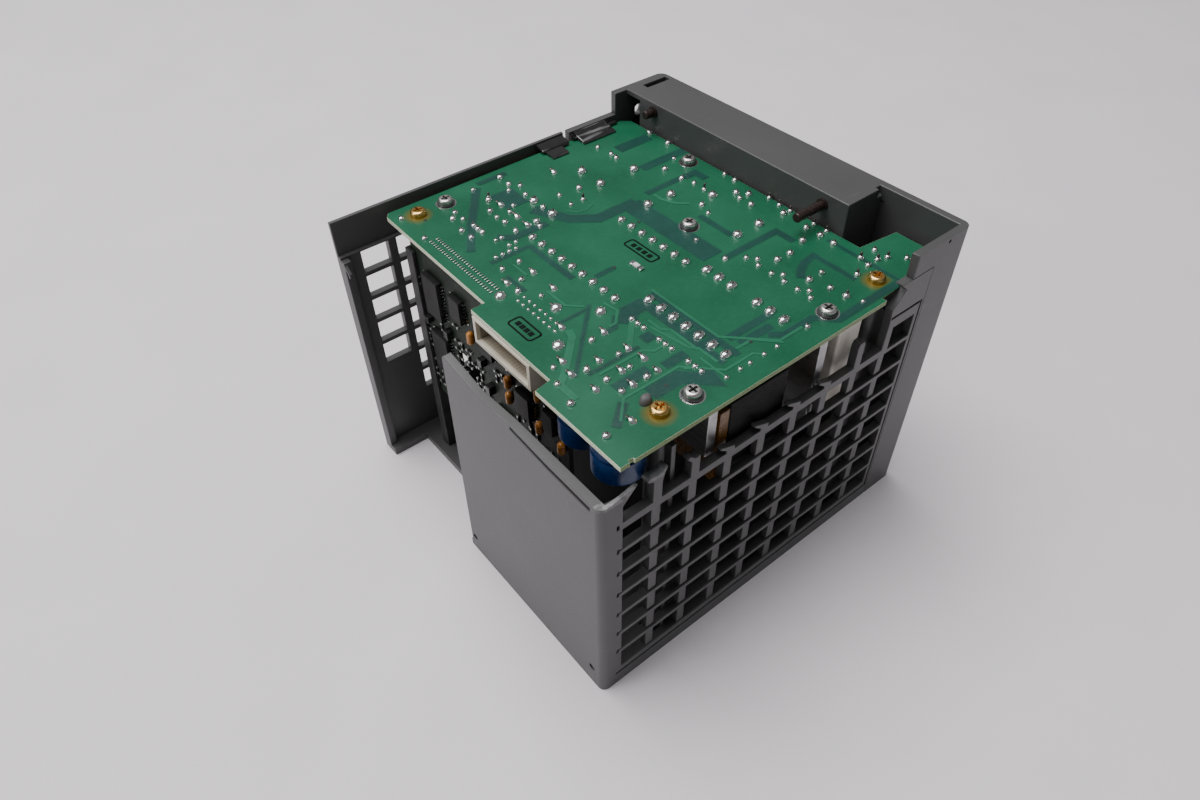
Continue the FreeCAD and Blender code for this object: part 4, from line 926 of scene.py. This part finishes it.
LIGHT_RUNS = [
    (1.0, [(31.5, -23.4), (36.8, -23.4), (39.0, -21.4), (50.0, -21.4)]),
    (1.0, [(34.0, -25.0), (47.8, -22.6), (49.6, -20.8), (57.0, -20.8)]),
    (0.9, [(21.4, -13.2), (49.6, -13.2), (61.6, -1.2), (61.6, 8.0)]),
    (0.8, [(62.8, -8.8), (60.6, -11.0), (60.6, -21.4), (51.6, -30.2), (51.6, -49.6),
           (57.4, -55.4)]),
    (0.8, [(62.9, -23.3), (52.8, -23.3)]), (2.2, [(20.5, -43.6), (23.5, -44.6), (34.8, -56.2),
                                                 (37.0, -59.2), (44.0, -59.2)]),
    (1.8, [(28.5, -26.8), (37.6, -35.8)]), (0.9, [(42.6, -28.0), (42.6, -31.0), (40.4, -33.4),
                                                 (40.4, -48.6)]),
    (0.9, [(54.4, -28.0), (52.9, -29.6)]), (0.9, [(56.4, -13.0), (56.4, -6.8), (62.8, -1.0)]),
    (0.8, [(-29.0, -6.4), (-26.0, -4.2), (-25.2, -1.0), (-26.6, 2.6)]),
    (1.4, [(-6.0, 28.0), (-9.0, 24.6), (-14.0, 22.6), (-18.0, 22.6)]),
    (0.9, [(2.0, -37.6), (11.0, -37.6), (15.0, -33.6)]), (0.8, [(-15.5, -37.6), (-8.0, -37.6)]),
    (0.9, [(17.2, -28.2), (22.6, -27.4), (26.6, -31.4), (26.6, -34.0)]),
]


def board_bands():
    """Gaps in the copper, seen dark and bluish through the mask, with fading borders."""
    steps = ((0.9, 0.056, (0.0043, 0.066, 0.034), (0.0066, 0.090, 0.047)),
             (0.3, 0.084, (0.0041, 0.054, 0.033), (0.0063, 0.074, 0.045)),
             (-0.3, 0.112, (0.0040, 0.042, 0.032), (0.0060, 0.058, 0.043)))
    for number, (wider, thick, dark, light) in enumerate(steps):
        bm = bmesh.new()
        for index, (width, points) in enumerate(DARK_BANDS):
            ribbon(bm, points, width + wider, SOLDER_TOP - BAND_SUNK, thick + BAND_STEP * index)
        name = "board_gaps_" + str(number + 1)
        add(name, finish_mesh(bm, name), "board_green", material=mask_tint(name, dark, light))


def board_runs():
    """Copper runs standing a little proud under the mask."""
    bm = bmesh.new()
    for index, (width, points) in enumerate(LIGHT_RUNS):
        ribbon(bm, points, width, SOLDER_TOP - BAND_SUNK, 0.15 + RUN_STEP * index)
    tint = mask_tint("mask_over_copper", (0.009, 0.108, 0.054), (0.013, 0.136, 0.070))
    return add("board_runs", finish_mesh(bm, "board_runs"), "board_green", material=tint)


def stamp(bm, x, y, width, height):
    """Plain rounded frame with a row of blank squares."""
    radius = 1.0
    corners = []
    for cx, cy, start in ((1, 1, 0), (-1, 1, 90), (-1, -1, 180), (1, -1, 270)):
        for step in range(4):
            angle = math.radians(start + 30 * step)
            corners.append((x + cx * (width / 2 - radius) + radius * math.cos(angle),
                            y + cy * (height / 2 - radius) + radius * math.sin(angle)))
    ribbon(bm, corners + corners[:2], 0.55, SOLDER_TOP, 0.10)
    for index in range(4):
        cell = x + (index - 1.5) * width * 0.19
        ribbon(bm, [(cell - 0.8, y), (cell + 0.8, y)], 1.7, SOLDER_TOP, 0.11)


STAMPS = ((4.4, -2.3, 13.2, 4.0), (12.0, -52.8, 10.8, 4.6))


def board_stamps():
    """Both stamps, in dark ink; each is its centre, width and height."""
    bm = bmesh.new()
    for x, y, width, height in STAMPS:
        stamp(bm, x, y, width, height)
    ink_and_hole_shade = mottled("stamp_ink", (0.001, 0.004, 0.003), (0.003, 0.009, 0.007), 1.2, (0.6, 0.75),
                  specular=0.1)
    return add("board_stamps", finish_mesh(bm, "board_stamps"), "board_green", material=ink_and_hole_shade)


def chip_resistor():
    """Flat chip resistor beside the upper stamp: white body and tinned ends."""
    y = -9.0
    body = rounded_blocks([((8.5, y - 0.8, SOLDER_TOP), (10.7, y + 0.8, SOLDER_TOP + 0.75))],
                          0.12, "chip_body")
    add("chip_resistor_body", body, "white_part")
    ends = [((x, y - 1.0, SOLDER_TOP), (x + 1.25, y + 1.0, SOLDER_TOP + 0.6))
            for x in (7.0, 11.2)]
    add("chip_resistor_ends", rounded_blocks(ends, 0.2, "chip_ends"), "tinned_copper")


DAB_PLACE = (56.2, -46.0)


def grey_dab():
    """Soft grey stud of sealing compound beside the near brass screw."""
    bm = bmesh.new()
    rings = [(1.75, 0.0, 0), (1.7, 0.4, 0.1), (1.6, 1.2, 0.4), (1.35, 1.7, 0.8), (0.8, 2.0, 1),
             (0.3, 2.05, 1)]
    lathe(bm, *DAB_PLACE, SOLDER_TOP - SUNK, rings, 20, (0.85, 1.1), (-0.4, 0.5))
    compound = mottled("sealing_compound", grey(0.055), grey(0.085), 1.5, (0.5, 0.65))
    return add("sealing_dab", finish_mesh(bm, "sealing_dab", 60.0), "pad_grey",
               material=compound)


PITS = ((55.0, -37.8), (56.8, -7.8), (5.7, -14.6), (10.8, 14.2), (55.2, 27.2), (-54.6, -45.6),
        (-8.4, 7.6), (33.8, 39.6))


def board_pits():
    """Open plated holes: dark dots of painted shade for the holes, with a thin rim."""
    bm = bmesh.new()
    for x, y in PITS:
        lathe(bm, x, y, SOLDER_TOP - SUNK, [(0.62, 0, 0), (0.6, 0.14, 0), (0.3, 0.15, 0)], 14)
    # dark green of painted shade inside the open holes
    ink_and_hole_shade = mottled("open_hole", (0.004, 0.016, 0.010), (0.008, 0.028, 0.018), 1.0, (0.5, 0.6))
    return add("open_holes", finish_mesh(bm, "open_holes"), "board_green", material=ink_and_hole_shade)


# ---- control board details -------------------------------------------------------------
LEG_HALF = 0.2             # half the width of a leg
# parts of a leg: where they start and end, out from the package, and their far and near side,
# away from the board
LEG_PARTS = ((-0.1, 0.9, 1.25, 1.05), (0.7, 1.7, 0.22, 0.02), (0.7, 0.9, 1.25, 0.02))


def gull_legs(bm, low, high, back):
    """Legs down both long sides of a flat package that lies against the board plane."""
    upright = high.z - low.z >= high.x - low.x
    along, across = (2, 0) if upright else (0, 2)
    length = high[along] - low[along]
    count = max(3, int(length / FINE_PITCH))
    first = (length - (count - 1) * FINE_PITCH) / 2
    for index in range(count):
        middle = low[along] + first + FINE_PITCH * index
        for edge, out in ((low[across], -1), (high[across], 1)):
            for start, end, far, near in LEG_PARTS:
                ends = sorted((edge + start * out, edge + end * out))
                sides = (middle - LEG_HALF, middle + LEG_HALF)
                x_span, z_span = (ends, sides) if upright else (sides, ends)
                block(bm, (x_span[0], back - far, z_span[0]), (x_span[1], back - near, z_span[1]))


SURFACE_STEP = 3.4         # grid of the small surface parts on the upright board
SURFACE_MARGIN = 3.0
SURFACE_TOP = 87.0
SURFACE_SHARE = 0.55       # share of the grid's places that hold a part
FLAT_SHARE = 0.45          # share of the parts that lie across
SURFACE_LONG = 1.6
SURFACE_SHORT = 0.8
CLEAR_X = 3.2              # least distance from a larger part
CLEAR_Z = 2.4
END_HALF = 0.42


def control_details():
    """Chip legs and small surface parts on the upright board."""
    low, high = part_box("control_board")
    back = low.y / MM
    bm = bmesh.new()
    taken = []
    for a, b in islands("control_chips"):
        gull_legs(bm, a / MM, b / MM, back)
        taken.append((a / MM, b / MM))
    add("chip_legs", finish_mesh(bm, "chip_legs"), "tinned_copper")
    for node in ("tantalum_capacitors", "control_passives"):
        taken += [(a / MM, b / MM) for a, b in islands(node)]
    bodies = []
    ends = []
    x = low.x / MM + SURFACE_MARGIN
    while x < high.x / MM - SURFACE_MARGIN:
        z = low.z / MM + SURFACE_MARGIN
        while z < SURFACE_TOP:
            px = x + SHUFFLE.uniform(-0.5, 0.5)
            pz = z + SHUFFLE.uniform(-0.5, 0.5)
            keep = SHUFFLE.random() < SURFACE_SHARE
            flat = SHUFFLE.random() < FLAT_SHARE
            clear = all(px < a.x - CLEAR_X or px > b.x + CLEAR_X
                        or pz < a.z - CLEAR_Z or pz > b.z + CLEAR_Z for a, b in taken)
            z += SURFACE_STEP
            if not keep or not clear:
                continue
            sizes = (SURFACE_LONG, SURFACE_SHORT)
            wide, tall = sizes if flat else reversed(sizes)
            bodies.append(((px - wide * 0.62, back - 0.65, pz - tall * 0.62),
                           (px + wide * 0.62, back + SUNK, pz + tall * 0.62)))
            for side in (-1, 1):
                ex = px + side * (wide * 0.8 if flat else 0)
                ez = pz + side * (0 if flat else tall * 0.8)
                ends.append(((ex - END_HALF, back - 0.7, ez - END_HALF),
                             (ex + END_HALF, back + SUNK, ez + END_HALF)))
        x += SURFACE_STEP
    add("surface_part_bodies", rounded_blocks(bodies, 0.08, "surface_bodies"), "device_black")
    add("surface_part_ends", rounded_blocks(ends, 0.08, "surface_ends"), "tinned_copper",
        material=MATERIALS["header_tail"])


# ---- rounded copies of the CAD nodes ---------------------------------------------------
EDGE_WIDTHS = {
    "housing_shell": 0.18, "front_bezel": 0.35, "terminal_door": 0.30, "board_latch": 0.34,
    "main_board": 0.10, "control_board": 0.08, "heat_sink_rear": 0.22, "heat_sink_front": 0.22,
    "earth_bracket": 0.18, "transformer_core": 0.5, "filter_capacitor": 0.2,
    "suppression_capacitor": 0.2, "control_chips": 0.18, "control_passives": 0.2,
    "optocouplers": 0.2, "terminal_block": 0.25, "terminal_clamps": 0.15, "fuse_base": 0.25,
    "jumper_base": 0.25, "voltage_jumper": 0.2, "jumper_pins": 0.1, "backplane_socket": 0.18,
    "socket_contacts": 0.06, "bridge_rectifier": 0.15, "rectifier_diodes": 0.12,
    "switch_transistors": 0.12, "front_label": 0.08, "terminal_leads": 0.12,
    "control_board_guide": 0.2,
}


def rounded_copies():
    """Every node of EDGE_WIDTHS as a copy with rounded edges; the widths are millimetres."""
    for node, width in EDGE_WIDTHS.items():
        rounded_copy(node, width)


def dress_cad_nodes():
    """Materials for the CAD nodes that are shown as they are."""
    for node, item in frame["nodes"].items():
        item.data.materials.clear()
        item.data.materials.append(MATERIALS[SLOT_OF[node]])
    washers = frame["nodes"]["bracket_washers"]
    # the washers' dark steel, darkened further as painted shade under the screw heads
    washers.data.materials[0] = MATERIALS["washer_steel_and_shade"]


FLOOR_HALF = 3.0


def floor():
    """Plain pale sheet under the object."""
    bm = bmesh.new()
    bmesh.ops.create_grid(bm, x_segments=8, y_segments=8, size=FLOOR_HALF)
    mesh = bpy.data.meshes.new("floor")
    bm.to_mesh(mesh)
    bm.free()
    item = bpy.data.objects.new("floor", mesh)
    item.location.z = CAD_BOX[0].z
    bpy.context.scene.collection.objects.link(item)
    mesh.materials.append(mottled("floor_sheet", (0.730, 0.700, 0.722), (0.765, 0.735, 0.757),
                                  60.0, (0.6, 0.75), 0.0, 0.9, 0.05))


camera()
MATERIALS = {maker.__name__: maker() for maker in MAKERS}
floor()
lights()
dress_cad_nodes()
rounded_copies()
board_bands()
board_runs()
board_stamps()
board_pits()
solder_joints()
solder_blobs()
recess_shadows()
fine_header()
chip_resistor()
grey_dab()
control_details()
